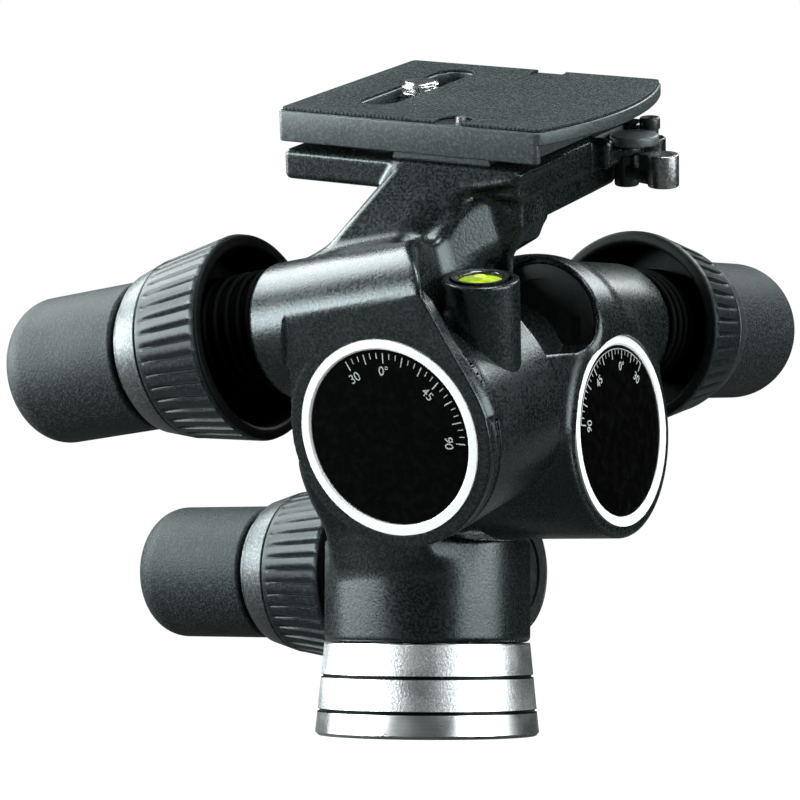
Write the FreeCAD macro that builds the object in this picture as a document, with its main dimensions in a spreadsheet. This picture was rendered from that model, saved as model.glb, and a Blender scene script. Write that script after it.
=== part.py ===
import FreeCAD, Part
import math
import os
import Sketcher

# Geared tripod head, millimetres, +Z up.
# The origin is the centre of the flat foot. +X is the way the front tilt dial faces,
# and -Y is the way the side tilt dial faces. Each of the three worm drives (pan, front tilt,
# side tilt) has the same wheel, worm, release sleeve and knob, placed by a frame of its own.

Vector = FreeCAD.Vector
Placement = FreeCAD.Placement
Rotation = FreeCAD.Rotation

doc = FreeCAD.newDocument("geared_head")


# ---------------------------------------------------------------- driving dimensions
SIZES = {
    # base and pan column
    "base_radius": 30.0, "base_top_radius": 27.5, "base_height": 24.5, "base_recess": 1.0,
    "base_thread_radius": 4.0, "base_thread_depth": 12.0,
    "groove_low": 6.7, "groove_high": 15.8, "groove_width": 0.8, "groove_depth": 0.6,
    "column_radius": 27.5, "column_top": 52.0, "turning_gap": 0.3,
    # gear set, the same for all three drives
    "wheel_teeth": 50, "gear_module": 0.8, "worm_pitch_radius": 6.8, "wheel_width": 8.0,
    "tooth_backlash": 0.45, "root_clearance": 0.2, "worm_turns": 4,
    # wheel axis: stations are measured from the face of the spindle flange
    "spindle_radius": 8.0, "spindle_flange_radius": 16.0, "spindle_flange": 5.0,
    "spigot_radius": 9.0, "spigot_length": 4.5, "wheel_station": 20.0,
    "hub_radius": 12.0, "bush_radius": 10.0, "bush_clearance": 0.04, "bush_length": 3.5,
    "chamber_radius": 22.0, "wall_end": 4.8, "plate_station": 25.0, "plate_thickness": 3.5,
    "spindle_length": 33.5, "pan_spindle_length": 29.5,
    "seat_station": 33.4, "face_station": 35.8, "dial_station": 36.2,
    "dial_ring_radius": 24.0, "dial_ring_bore": 21.6, "dial_radius": 21.3,
    "drum_radius": 27.0, "flange_rim_radius": 27.3,
    # worm axis: stations are measured from the foot of the wheel axis
    "boss_radius": 16.8, "boss_start": 12.6, "cap_radius": 15.6, "cap_rim": 1.2,
    "sleeve_radius": 13.2, "sleeve_clearance": 0.05, "sleeve_bore": 8.2, "sleeve_start": 9.5,
    "sleeve_neck": 6.6, "sleeve_offset": 2.0, "release_angle": 54.0, "window_reach": 15.5,
    "worm_shaft_radius": 4.95, "knob_slope": 15.0,
    "pan_reach": 36.0, "front_reach": 36.0, "side_reach": 40.4, "boss_setback": 9.0,
    # release collar and knob, measured from the mouth of the collar
    "mouth_radius": 25.3, "mouth_bore": 22.4, "belly_radius": 25.8, "shoulder_radius": 22.8,
    "shoulder_station": 20.2, "collar_length": 25.5, "collar_end_radius": 21.0,
    "collar_web": 14.0, "collar_spigot": 15.0, "ring_radius": 19.9, "ring_end": 31.0,
    "grip_start": 32.0, "grip_end": 70.3, "grip_radius": 18.8, "grip_round": 9.0,
    "core_radius": 15.6, "core_end": 66.0, "spring_radius": 14.2, "spring_wire": 0.7,
    # tilt axes
    "pan_worm_level": 43.5, "front_axis_y": -20.3, "front_axis_height": 78.65,
    "front_dial_plane": 69.5, "side_axis_x": 44.0, "side_axis_rise": 18.15,
    "side_dial_reach": 67.6, "front_lean": 18.6, "side_lean": 9.0,
    "front_boss_radius": 21.5, "boss_sweep_radius": 22.4,
    # camera platform, in the frame of the side tilt axis
    "platform_left": -48.3, "platform_right": 17.3, "platform_front": -33.0,
    "platform_back": 33.5, "platform_under": 51.0, "platform_top": 58.6, "rib_under": 43.8,
    "rib_right": 17.0, "channel_floor": 55.3, "lever_shelf_right": 22.0,
    "lever_shelf_front": 6.0,
    # locking lever: the disc on top is eccentric to the pivot, the finger piece is on an arm
    "lever_x": 21.5, "lever_y": 17.0, "lever_disc_x": 1.5, "lever_disc_y": 1.3,
    "lever_disc_radius": 6.2, "lever_pivot_radius": 2.5, "lever_post_radius": 3.1,
    "lever_post_low": 45.0, "lever_ear_low": 53.2, "finger_reach": 12.3, "finger_radius": 3.9,
    "catch_x": 23.0, "catch_y": 27.3, "catch_radius": 2.2,
    # quick release plate
    "plate_left": -49.5, "plate_right": 23.0, "plate_front": -33.0, "plate_back": 34.0,
    "plate_under": 60.5, "plate_face": 68.2, "pad_top": 69.0, "lip_under": 65.0,
    "plate_bulge": 7.0, "slot_x": -30.0, "slot_front": -20.5, "slot_back": 26.4,
    "slot_radius": 5.0, "notch_radius": 4.6, "front_notch_x": -1.5, "front_notch_y": -29.5,
    "back_notch_x": -7.8, "back_notch_y": 31.0,
    # camera screw, drawn at its lowest
    "screw_y": 4.0, "screw_radius": 4.7625, "screw_neck": 4.0, "screw_head_radius": 7.6,
    "screw_head_low": 59.0, "screw_head_high": 61.4, "thread_low": 65.5, "screw_top": 70.2,
    # bubble level
    "pillar_x": 14.5, "pillar_y": -47.0, "pillar_radius": 9.3, "pillar_top": 35.7,
    "vial_radius": 6.0,
}


class Size:
    """A cell of the sheet, or sums of cells: the number, and the expression that gives it."""

    def __init__(self, text, value):
        self.text = text
        self.value = value

    def __float__(self):
        return float(self.value)

    def __neg__(self):
        return Size(f"(-{self.text})", -self.value)

    def __add__(self, other):
        return Size(f"({self.text} + {text_of(other)})", self.value + float(other))

    def __radd__(self, other):
        return Size(f"({text_of(other)} + {self.text})", float(other) + self.value)

    def __sub__(self, other):
        return Size(f"({self.text} - {text_of(other)})", self.value - float(other))

    def __rsub__(self, other):
        return Size(f"({text_of(other)} - {self.text})", float(other) - self.value)

    def __mul__(self, other):
        return Size(f"({self.text} * {text_of(other)})", self.value * float(other))

    def __rmul__(self, other):
        return Size(f"({text_of(other)} * {self.text})", float(other) * self.value)

    def __truediv__(self, other):
        return Size(f"({self.text} / {text_of(other)})", self.value / float(other))


def text_of(number):
    """The expression text of a Size or of a plain number."""
    return number.text if isinstance(number, Size) else repr(float(number))


def fill_sheet():
    """Write the driving dimensions into the sheet, and give back one Size for each."""
    sheet = doc.addObject("Spreadsheet::Sheet", "sizes")
    cells = {}
    for row, (alias, value) in enumerate(SIZES.items(), start=1):
        sheet.set(f"A{row}", alias)
        sheet.set(f"B{row}", str(value))
        sheet.setAlias(f"B{row}", alias)
        cells[alias] = Size(f"sizes.{alias}", value)
    doc.recompute()
    return cells


S = fill_sheet()


# ---------------------------------------------------------------- small tools
def bind(thing, name, size):
    """Set a property from a Size as an expression, or from a plain number as it is."""
    if isinstance(size, Size):
        thing.setExpression(name, size.text)
    else:
        setattr(thing, name, float(size))


def point(x, y, z):
    return Vector(float(x), float(y), float(z))


def frame(origin, z_axis, x_axis):
    """The placement whose Z and X axes lie along two directions that are square to each other."""
    y_axis = z_axis.cross(x_axis)
    turn = Rotation(x_axis, y_axis, z_axis, "ZXY")
    return Placement(origin, turn)


def lifted(place, x=0, y=0, z=0):
    """A placement moved along its own axes."""
    return place.multiply(Placement(point(x, y, z), Rotation()))


def cylinder(name, place, radius, start, end):
    """A cylinder on the Z axis of a placement, from one station to another."""
    thing = doc.addObject("Part::Cylinder", name)
    bind(thing, "Radius", radius)
    bind(thing, "Height", end - start)
    thing.Placement = lifted(place, z=start)
    return thing


def block(name, place, low, high):
    """A box between two corners, given as (x, y, z) in the frame of a placement."""
    thing = doc.addObject("Part::Box", name)
    bind(thing, "Length", high[0] - low[0])
    bind(thing, "Width", high[1] - low[1])
    bind(thing, "Height", high[2] - low[2])
    thing.Placement = lifted(place, *low)
    return thing


def prism(name, place, outline, start, end):
    """An outline in the XY plane of a placement, pushed out from one station to another."""
    corners = [point(x, y, start) for x, y in outline]
    face = Part.Face(Part.makePolygon(corners + corners[:1]))
    thing = doc.addObject("Part::Feature", name)
    thing.Shape = face.extrude(Vector(0, 0, float(end) - float(start)))
    thing.Placement = place
    return thing


def fuse(name, things):
    whole = doc.addObject("Part::MultiFuse", name)
    whole.Shapes = things
    whole.Refine = True
    return whole


def cut(name, base, tools):
    """One solid less a list of others, taken away one after another."""
    for number, tool in enumerate(tools, start=1):
        last = number == len(tools)
        step = doc.addObject("Part::Cut", name if last else f"{name}_{number}")
        step.Base = base
        step.Tool = tool
        step.Refine = last
        base = step
    return base


def common(name, first, second):
    both = doc.addObject("Part::MultiCommon", name)
    both.Shapes = [first, second]
    return both


NODES = []


def node(thing, label, place=None):
    """Name a finished sub-part, and put it in its place."""
    thing.Label = label
    if place is not None:
        thing.Placement = place.multiply(thing.Placement)
    NODES.append(thing)
    return thing


# ---------------------------------------------------------------- PartDesign tools
def origin_part(body, role):
    return next(part for part in body.Origin.OriginFeatures if part.Role == role)


def sketch_on(body, name, role, offset=0.0):
    sketch = body.newObject("Sketcher::SketchObject", name)
    sketch.AttachmentSupport = [(origin_part(body, role), "")]
    sketch.MapMode = "FlatFace"
    sketch.AttachmentOffset = Placement(point(0, 0, offset), Rotation())
    return sketch


def hold(sketch, kind, line, size, axis):
    """Fix a line's first point by its distance from one axis, or on that axis at zero."""
    if abs(float(size)) < 1e-9:
        sketch.addConstraint(Sketcher.Constraint("PointOnObject", line, 1, axis))
        return
    number = sketch.addConstraint(Sketcher.Constraint(kind, -1, 1, line, 1, float(size)))
    if isinstance(size, Size):
        sketch.setExpression(f"Constraints[{number}]", size.text)


def closed_outline(sketch, outline):
    """Straight lines through the points, each point held by its two distances."""
    corners = [point(x, y, 0) for x, y in outline]
    count = len(corners)
    for i in range(count):
        sketch.addGeometry(Part.LineSegment(corners[i], corners[(i + 1) % count]), False)
    for i, (x, y) in enumerate(outline):
        sketch.addConstraint(Sketcher.Constraint("Coincident", i, 2, (i + 1) % count, 1))
        hold(sketch, "DistanceX", i, x, -2)
        hold(sketch, "DistanceY", i, y, -1)


def ring_edges(shape, radius, height):
    """The names of the round edges of one radius at one height."""
    names = []
    for number, edge in enumerate(shape.Edges, start=1):
        curve = edge.Curve
        if not isinstance(curve, Part.Circle):
            continue
        if abs(curve.Radius - float(radius)) < 1e-4 and abs(curve.Center.z - float(height)) < 1e-4:
            names.append(f"Edge{number}")
    return names


def turned(name, outline, rounds=(), bevels=()):
    """A body turned about its Z axis from an outline of (radius, station) points.

    rounds and bevels are (radius, station, size) for the round edges that get one."""
    body = doc.addObject("PartDesign::Body", name)
    sketch = sketch_on(body, name + "_outline", "XZ_Plane")
    closed_outline(sketch, outline)
    turning = body.newObject("PartDesign::Revolution", name + "_turning")
    turning.Profile = sketch
    turning.ReferenceAxis = (sketch, ["V_Axis"])
    turning.Angle = 360
    last = turning
    for kind, prop, wanted in (("Fillet", "Radius", rounds), ("Chamfer", "Size", bevels)):
        for radius, station, size in wanted:
            doc.recompute()
            dressing = body.newObject("PartDesign::" + kind, name + "_" + kind.lower())
            dressing.Base = (last, ring_edges(last.Shape, radius, station))
            bind(dressing, prop, size)
            last = dressing
    body.Tip = last
    return body


# ---------------------------------------------------------------- frames
LEVEL = Placement()
MIDDLE = Placement(point(0, S["front_axis_y"], S["front_axis_height"]),
                   Rotation(Vector(1, 0, 0), SIZES["front_lean"]))
TOP = MIDDLE.multiply(Placement(point(S["side_axis_x"], 0, S["side_axis_rise"]),
                                Rotation(Vector(0, 1, 0), SIZES["side_lean"])))

SLOPE = math.radians(SIZES["knob_slope"])
WHEEL_RADIUS = S["wheel_teeth"] * S["gear_module"] / 2
CENTRE_DISTANCE = WHEEL_RADIUS + S["worm_pitch_radius"]
THREAD_PITCH = S["gear_module"] * math.pi
LEAD_ANGLE = math.atan(float(THREAD_PITCH) / (2 * math.pi * SIZES["worm_pitch_radius"]))
SLEEVE_START_ANGLE = math.radians(90 - SIZES["release_angle"] / 2)
SLEEVE_X = -S["sleeve_offset"] * math.cos(SLEEVE_START_ANGLE)
SLEEVE_Y = -S["sleeve_offset"] * math.sin(SLEEVE_START_ANGLE)


class Drive:
    """One worm drive: where its wheel is, which way its dial faces and its knob points."""

    def __init__(self, name, carrier, wheel_centre, towards_worm, knob_way, outward):
        self.name = name
        self.carrier = carrier
        self.reach = S[name + "_reach"]
        flange = wheel_centre - outward * SIZES["wheel_station"]
        foot = wheel_centre + towards_worm * float(CENTRE_DISTANCE)
        self.axis = frame(flange, outward, towards_worm)
        self.worm = frame(foot, knob_way, -towards_worm)
        self.sleeve = lifted(self.worm, x=SLEEVE_X, y=SLEEVE_Y)


FRONT_WHEEL_X = SIZES["front_dial_plane"] - SIZES["dial_station"] + SIZES["wheel_station"]
SIDE_WHEEL_Y = -SIZES["side_dial_reach"] + SIZES["dial_station"] - SIZES["wheel_station"]
PAN = Drive("pan", LEVEL, point(0, 0, S["pan_worm_level"]),
            Vector(0, 1, 0), Vector(-1, 0, 0), Vector(0, 0, 1))
FRONT = Drive("front", MIDDLE, point(FRONT_WHEEL_X, 0, 0),
              Vector(0, math.sin(SLOPE), math.cos(SLOPE)),
              Vector(0, math.cos(SLOPE), -math.sin(SLOPE)), Vector(1, 0, 0))
SIDE = Drive("side", TOP, point(0, SIDE_WHEEL_Y, 0),
             Vector(-math.sin(SLOPE), 0, math.cos(SLOPE)),
             Vector(-math.cos(SLOPE), 0, -math.sin(SLOPE)), Vector(0, -1, 0))
DRIVES = (PAN, FRONT, SIDE)


# ---------------------------------------------------------------- wheel side of a drive
def make_spindle(drive):
    """Flanged spindle: it stays still, and the next body turns on it."""
    length = S["pan_spindle_length"] if drive is PAN else S["spindle_length"]
    flange = -S["spindle_flange"]
    outline = [(0, flange - S["spigot_length"]), (S["spigot_radius"], flange - S["spigot_length"]),
               (S["spigot_radius"], flange), (S["spindle_flange_radius"], flange),
               (S["spindle_flange_radius"], 0), (S["spindle_radius"], 0),
               (S["spindle_radius"], length), (0, length)]
    body = turned(drive.name + "_spindle", outline, bevels=[(S["spindle_radius"], length, 0.6)])
    node(body, drive.name + "_spindle", drive.carrier.multiply(drive.axis))


def make_wheel(drive):
    """Worm wheel: a hub that spaces it from the bush, and slanted tooth spaces all round."""
    name = drive.name + "_wheel"
    low = S["wheel_station"] - S["wheel_width"] / 2
    high = S["wheel_station"] + S["wheel_width"] / 2
    tip = WHEEL_RADIUS + S["gear_module"]
    root = WHEEL_RADIUS - S["gear_module"] - S["root_clearance"]
    outline = [(S["spindle_radius"], 5.0), (S["hub_radius"], 5.0), (S["hub_radius"], low),
               (tip, low), (tip, high), (S["spindle_radius"], high)]
    body = turned(name, outline)
    shift = float(S["wheel_width"]) / 2 * math.tan(LEAD_ANGLE)
    half_pitch = float(THREAD_PITCH) / 4
    lean = math.tan(math.radians(20))
    overshoot = 0.4
    at_root = half_pitch - (float(WHEEL_RADIUS) - float(root)) * lean
    at_tip = half_pitch + (float(tip) + overshoot - float(WHEEL_RADIUS)) * lean
    slack = SIZES["tooth_backlash"] / 4
    sketch = sketch_on(body, name + "_space", "XY_Plane", low)
    closed_outline(sketch, [(root, -shift - at_root - slack),
                            (tip + overshoot, -shift - at_tip - slack),
                            (tip + overshoot, -shift + at_tip + slack),
                            (root, -shift + at_root + slack)])
    doc.recompute()
    space = body.newObject("PartDesign::Pocket", name + "_tooth_space")
    space.Profile = sketch
    space.UseCustomVector = True
    space.Direction = Vector(0, math.sin(LEAD_ANGLE), math.cos(LEAD_ANGLE))
    space.AlongSketchNormal = False
    space.Length = SIZES["wheel_width"] / math.cos(LEAD_ANGLE) + 0.1
    pattern = body.newObject("PartDesign::PolarPattern", name + "_teeth")
    pattern.Originals = [space]
    pattern.Axis = (origin_part(body, "Z_Axis"), [""])
    pattern.Angle = 360
    bind_count(pattern, S["wheel_teeth"])
    body.Tip = pattern
    node(body, name, drive.carrier.multiply(drive.axis))


def bind_count(pattern, size):
    pattern.setExpression("Occurrences", size.text)


def make_bushes(drive):
    """Two plain bearings: one in the wall of the next body, one on the far side of the wheel."""
    bore = S["spindle_radius"] + S["bush_clearance"]
    if drive is PAN:
        stations = (1.2, 25.8)
    else:
        stations = (0.8, SIZES["plate_station"])
    rings = []
    for number, start in enumerate(stations):
        end = start + S["bush_length"] - (0.2 if number == 0 else 0.0)
        name = f"{drive.name}_bush_{number}"
        outer = cylinder(name + "_outside", drive.axis, S["bush_radius"], start, end)
        inner = cylinder(name + "_bore", drive.axis, bore, start, end)
        rings.append(cut(name, outer, [inner]))
    pair = doc.addObject("Part::Compound", drive.name + "_bush_pair")
    pair.Links = rings
    node(pair, drive.name + "_bushes", drive.carrier)


def make_bearing_plate(drive):
    """Round plate that closes the gear chamber and holds the second bush."""
    start = 1.2 if drive is PAN else S["plate_station"]
    thickness = 3.3 if drive is PAN else S["plate_thickness"]
    outline = [(S["bush_radius"], start), (S["chamber_radius"], start),
               (S["chamber_radius"], start + thickness), (S["bush_radius"], start + thickness)]
    disc = turned(drive.name + "_bearing_disc", outline)
    disc.Placement = drive.axis
    name = drive.name + "_bearing_plate"
    relief = cylinder(name + "_relief", drive.sleeve, S["sleeve_radius"] + S["sleeve_clearance"],
                      -S["boss_start"], drive.reach)
    tools = [relief]
    if drive is not SIDE:
        tools.append(cylinder(name + "_corner", drive.worm, S["cap_radius"], -S["boss_start"],
                              -S["boss_start"] + S["cap_rim"]))
    node(cut(name, disc, tools), name, drive.carrier)


def make_dial(drive):
    """Scale disc with a hub that screws on the end of the spindle, and the bezel round it."""
    face = S["dial_station"] - 0.5
    back = face - 1.5
    hub = 11.0
    start = 29.1
    outline = [(S["spindle_radius"], start), (hub, start), (hub, back), (S["dial_radius"], back),
               (S["dial_radius"], face), (0, face), (0, S["spindle_length"]),
               (S["spindle_radius"], S["spindle_length"])]
    disc = turned(drive.name + "_dial", outline)
    node(disc, drive.name + "_dial", drive.carrier.multiply(drive.axis))
    outline = [(S["dial_ring_bore"], S["seat_station"]), (S["dial_ring_radius"], S["seat_station"]),
               (S["dial_ring_radius"], S["dial_station"]), (S["dial_ring_bore"], S["dial_station"])]
    ring = turned(drive.name + "_bezel_ring", outline,
                  bevels=[(S["dial_ring_bore"], S["dial_station"], 0.4)])
    ring.Placement = drive.axis
    relief = cylinder(drive.name + "_bezel_relief", drive.sleeve,
                      S["sleeve_radius"] + S["sleeve_clearance"], -S["boss_start"], drive.reach)
    node(cut(drive.name + "_bezel", ring, [relief]), drive.name + "_bezel", drive.carrier)


# ---------------------------------------------------------------- worm side of a drive
def make_worm(drive):
    """Worm shaft: a single-start right-hand thread between two journals."""
    name = drive.name + "_worm"
    root = S["worm_pitch_radius"] - S["gear_module"] - S["root_clearance"]
    half = S["worm_turns"] * THREAD_PITCH / 2 + 0.7
    shaft = S["worm_shaft_radius"]
    end = drive.reach + S["core_end"] - 4.0
    body = turned(name, [(0, -S["sleeve_start"]), (shaft, -S["sleeve_start"]), (shaft, -half),
                         (root, -half), (root, half), (shaft, half), (shaft, end), (0, end)])
    start = -float(S["worm_turns"] * THREAD_PITCH) / 2
    crest = S["worm_pitch_radius"] + S["gear_module"]
    half_pitch = float(THREAD_PITCH) / 4
    lean = math.tan(math.radians(20))
    slack = SIZES["tooth_backlash"] / 4
    buried = 0.2
    at_root = half_pitch + (SIZES["gear_module"] + SIZES["root_clearance"] + buried) * lean - slack
    at_crest = half_pitch - SIZES["gear_module"] * lean - slack
    sketch = sketch_on(body, name + "_thread", "XZ_Plane")
    closed_outline(sketch, [(root - buried, start - at_root), (crest, start - at_crest),
                            (crest, start + at_crest), (root - buried, start + at_root)])
    thread = body.newObject("PartDesign::AdditiveHelix", name + "_helix")
    thread.Profile = sketch
    thread.ReferenceAxis = (sketch, ["V_Axis"])
    thread.Mode = 0
    bind(thread, "Pitch", THREAD_PITCH)
    bind(thread, "Height", S["worm_turns"] * THREAD_PITCH)
    body.Tip = thread
    node(body, name, drive.carrier.multiply(drive.worm))


def make_sleeve(drive):
    """Eccentric sleeve: the worm turns in it, and turning the sleeve lifts the worm out of mesh."""
    name = drive.name + "_release_sleeve"
    end = drive.reach + S["collar_length"]
    tube = cylinder(name + "_tube", drive.sleeve, S["sleeve_radius"], -S["sleeve_start"], end)
    bore = cylinder(name + "_bore", drive.worm, S["sleeve_bore"], -7.1, end)
    neck = cylinder(name + "_neck", drive.worm, S["sleeve_neck"], -S["sleeve_start"], -7.1)
    # The window lets the wheel in, and stays clear of it while the sleeve turns.
    window = cylinder(name + "_window", drive.sleeve, 20.0, -S["sleeve_start"], S["window_reach"])
    window.Angle = 150
    turn = Placement(Vector(), Rotation(Vector(0, 0, 1), -103))
    window.Placement = lifted(drive.sleeve, z=-S["sleeve_start"]).multiply(turn)
    node(cut(name, tube, [bore, neck, window]), name, drive.carrier)


def make_worm_bushes(drive):
    """Two plain bearings for the worm shaft, in the sleeve."""
    name = drive.name + "_worm_bush"
    rings = []
    stations = ((-S["sleeve_start"], -7.1, S["sleeve_neck"]),
                (drive.reach + 12.0, drive.reach + 22.0, S["sleeve_bore"]))
    for number, (start, end, radius) in enumerate(stations):
        outer = cylinder(f"{name}_{number}_outside", drive.worm, radius, start, end)
        inner = cylinder(f"{name}_{number}_bore", drive.worm, S["worm_shaft_radius"] + 0.04, start, end)
        rings.append(cut(f"{name}_{number}", outer, [inner]))
    pair = doc.addObject("Part::Compound", name + "_pair")
    pair.Links = rings
    node(pair, drive.name + "_worm_bushes", drive.carrier)


def make_cap(drive):
    """Moulded cap that closes the inner end of the worm boss."""
    name = drive.name + "_boss_cap"
    rim_end = -S["boss_start"] + S["cap_rim"]
    rim = cylinder(name + "_rim", drive.worm, S["cap_radius"], -S["boss_start"], rim_end)
    plug = cylinder(name + "_plug", drive.sleeve, S["sleeve_radius"], rim_end, rim_end + 1.4)
    dish = cylinder(name + "_dish", drive.worm, 12.0, -S["boss_start"], -S["boss_start"] + 0.8)
    tools = [dish]
    if drive is PAN:
        tools.append(cylinder(name + "_chamber", drive.axis, S["chamber_radius"], 1.0, 25.5))
    else:
        tools.append(cylinder(name + "_chamber", drive.axis, S["chamber_radius"], S["wall_end"],
                              S["seat_station"]))
        tools.append(cylinder(name + "_bezel_side", drive.axis, S["dial_ring_radius"],
                              S["seat_station"], S["dial_station"] + 2))
    node(cut(name, fuse(name + "_disc", [rim, plug]), tools), name, drive.carrier)


def make_collar(drive):
    """Release collar: a bell round the end of the boss, its web fixed to the sleeve."""
    name = drive.name + "_release_collar"
    reach = drive.reach
    web = reach + S["collar_web"]
    end = reach + S["collar_length"]
    outline = [(S["mouth_bore"], reach), (S["mouth_radius"], reach),
               (S["belly_radius"], reach + 2.5), (S["shoulder_radius"], reach + S["shoulder_station"]),
               (S["collar_end_radius"], end), (S["collar_spigot"], end),
               (S["collar_spigot"], end + 4.0), (0, end + 4.0), (0, web),
               (S["mouth_bore"] - 0.8, web)]
    bell = turned(name + "_bell", outline,
                  rounds=[(S["mouth_bore"], reach, 1.2), (S["mouth_radius"], reach, 0.8),
                          (S["shoulder_radius"], reach + S["shoulder_station"], 1.5)])
    bell.Placement = drive.worm
    seat = cylinder(name + "_seat", drive.sleeve, S["sleeve_radius"], web, end)
    hole = cylinder(name + "_hole", drive.worm, 6.5, web, end + 4.0)
    node(cut(name, bell, [seat, hole]), name, drive.carrier)


def make_collar_ring(drive):
    """Bright ring on the end of the collar."""
    start = drive.reach + S["collar_length"]
    end = drive.reach + S["ring_end"]
    outline = [(S["collar_spigot"], start), (S["ring_radius"], start),
               (S["ring_radius"], end), (S["collar_spigot"], end)]
    ring = turned(drive.name + "_collar_ring", outline, bevels=[(S["ring_radius"], end, 0.5)])
    node(ring, drive.name + "_collar_ring", drive.carrier.multiply(drive.worm))


def make_spring(drive):
    """Spring round the sleeve that turns the collar back."""
    name = drive.name + "_release_spring"
    start = drive.reach - S["boss_setback"] + 1.4
    length = S["boss_setback"] + S["collar_web"] - 2.8
    body = doc.addObject("PartDesign::Body", name)
    sketch = sketch_on(body, name + "_wire", "XZ_Plane")
    centre = point(S["spring_radius"], start, 0)
    sketch.addGeometry(Part.Circle(centre, Vector(0, 0, 1), SIZES["spring_wire"]), False)
    hold_centre = (("DistanceX", S["spring_radius"]), ("DistanceY", start))
    for kind, size in hold_centre:
        number = sketch.addConstraint(Sketcher.Constraint(kind, -1, 1, 0, 3, float(size)))
        sketch.setExpression(f"Constraints[{number}]", size.text)
    number = sketch.addConstraint(Sketcher.Constraint("Radius", 0, SIZES["spring_wire"]))
    sketch.setExpression(f"Constraints[{number}]", S["spring_wire"].text)
    coil = body.newObject("PartDesign::AdditiveHelix", name + "_coil")
    coil.Profile = sketch
    coil.ReferenceAxis = (sketch, ["V_Axis"])
    coil.Mode = 0
    bind(coil, "Pitch", length / 6)
    bind(coil, "Height", length)
    node(body, name, drive.carrier.multiply(drive.sleeve))


def make_knob(drive):
    """Knob core on the worm shaft, and the soft grip over it."""
    reach = drive.reach
    core_start = reach + S["grip_start"] - 2.0
    shoulder = reach + S["grip_start"] + 0.5
    shaft_end = reach + S["core_end"] - 4.0
    outline = [(S["worm_shaft_radius"], core_start), (13.0, core_start), (13.0, shoulder),
               (S["core_radius"], shoulder), (S["core_radius"], reach + S["core_end"]),
               (0, reach + S["core_end"]), (0, shaft_end), (S["worm_shaft_radius"], shaft_end)]
    core = turned(drive.name + "_knob_core", outline)
    node(core, drive.name + "_knob_core", drive.carrier.multiply(drive.worm))
    start = reach + S["grip_start"]
    end = reach + S["grip_end"]
    outline = [(13.2, start), (S["grip_radius"], start), (S["grip_radius"], end), (0, end),
               (0, reach + S["core_end"]), (S["core_radius"], reach + S["core_end"]),
               (S["core_radius"], shoulder), (13.2, shoulder)]
    grip = turned(drive.name + "_grip", outline,
                  rounds=[(S["grip_radius"], end, S["grip_round"]), (S["grip_radius"], start, 1.0)])
    node(grip, drive.name + "_grip", drive.carrier.multiply(drive.worm))


def boss_solid(drive):
    """The outside of the worm boss on a casting. The side drive's boss is closed and rounded."""
    start = -S["boss_start"]
    end = drive.reach - S["boss_setback"]
    if drive is not SIDE:
        return cylinder(drive.name + "_boss", drive.worm, S["boss_radius"], start, end)
    outline = [(0, start), (S["boss_radius"], start), (S["boss_radius"], end), (0, end)]
    boss = turned(drive.name + "_boss", outline, rounds=[(S["boss_radius"], start, 2.2)])
    boss.Placement = drive.worm
    return boss


def boss_hollows(drive):
    """What is bored out of a casting for the sleeve, and for the cap of a boss open at both ends."""
    start = -S["boss_start"]
    end = drive.reach - S["boss_setback"]
    bore = S["sleeve_radius"] + S["sleeve_clearance"]
    if drive is SIDE:
        return [cylinder("side_boss_bore", drive.sleeve, bore, -S["sleeve_start"] - 0.1, end)]
    return [cylinder(drive.name + "_boss_bore", drive.sleeve, bore, start, end),
            cylinder(drive.name + "_cap_seat", drive.worm, S["cap_radius"], start,
                     start + S["cap_rim"])]


def chamber_hollows(drive):
    """What is bored out of a tilting casting round its wheel axis."""
    name = drive.name
    return [cylinder(name + "_bush_seat", drive.axis, S["bush_radius"], 0, S["wall_end"]),
            cylinder(name + "_chamber", drive.axis, S["chamber_radius"], S["wall_end"],
                     S["seat_station"]),
            cylinder(name + "_bezel_seat", drive.axis, S["dial_ring_radius"], S["seat_station"],
                     S["dial_station"] + 2)]


# ---------------------------------------------------------------- base
def make_base():
    """Bright turned foot with two grooves and the threaded hole for the tripod."""
    slope = (S["base_radius"] - S["base_top_radius"]) / S["base_height"]
    outline = [(S["base_thread_radius"], 0), (S["base_radius"], 0)]
    for level in (S["groove_low"], S["groove_high"]):
        low = level - S["groove_width"] / 2
        high = level + S["groove_width"] / 2
        outline += [(S["base_radius"] - slope * low, low),
                    (S["base_radius"] - slope * low - S["groove_depth"], low),
                    (S["base_radius"] - slope * low - S["groove_depth"], high),
                    (S["base_radius"] - slope * high, high)]
    floor = S["base_height"] - S["base_recess"]
    flange = floor - S["spindle_flange"]
    spigot = flange - S["spigot_length"]
    outline += [(S["base_top_radius"], S["base_height"]), (22.5, S["base_height"]), (22.5, floor),
                (S["spindle_flange_radius"], floor), (S["spindle_flange_radius"], flange),
                (S["spigot_radius"], flange), (S["spigot_radius"], spigot), (0, spigot),
                (0, S["base_thread_depth"]), (S["base_thread_radius"], S["base_thread_depth"])]
    foot = turned("base_foot", outline, bevels=[(S["base_radius"], 0, 0.9)])
    holes = [cylinder(f"base_screw_hole_{i}", place, 2.25, -1.0, flange + 0.01)
             for i, place in enumerate(base_screw_places())]
    sinks = [cylinder(f"base_screw_sink_{i}", place, 4.1, -1.0, 4.4)
             for i, place in enumerate(base_screw_places())]
    taps = [cylinder(f"base_screw_tap_{i}", place, 2.0, flange, flange + 4.0)
            for i, place in enumerate(base_screw_places())]
    node(cut("base_adapter", foot, holes + sinks), "base_adapter")
    return taps


def base_screw_places():
    """Three screws hold the pan spindle to the foot from below."""
    places = []
    for turn in (30, 150, 270):
        angle = math.radians(turn)
        places.append(Placement(point(12.5 * math.cos(angle), 12.5 * math.sin(angle), 0), Rotation()))
    return places


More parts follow.
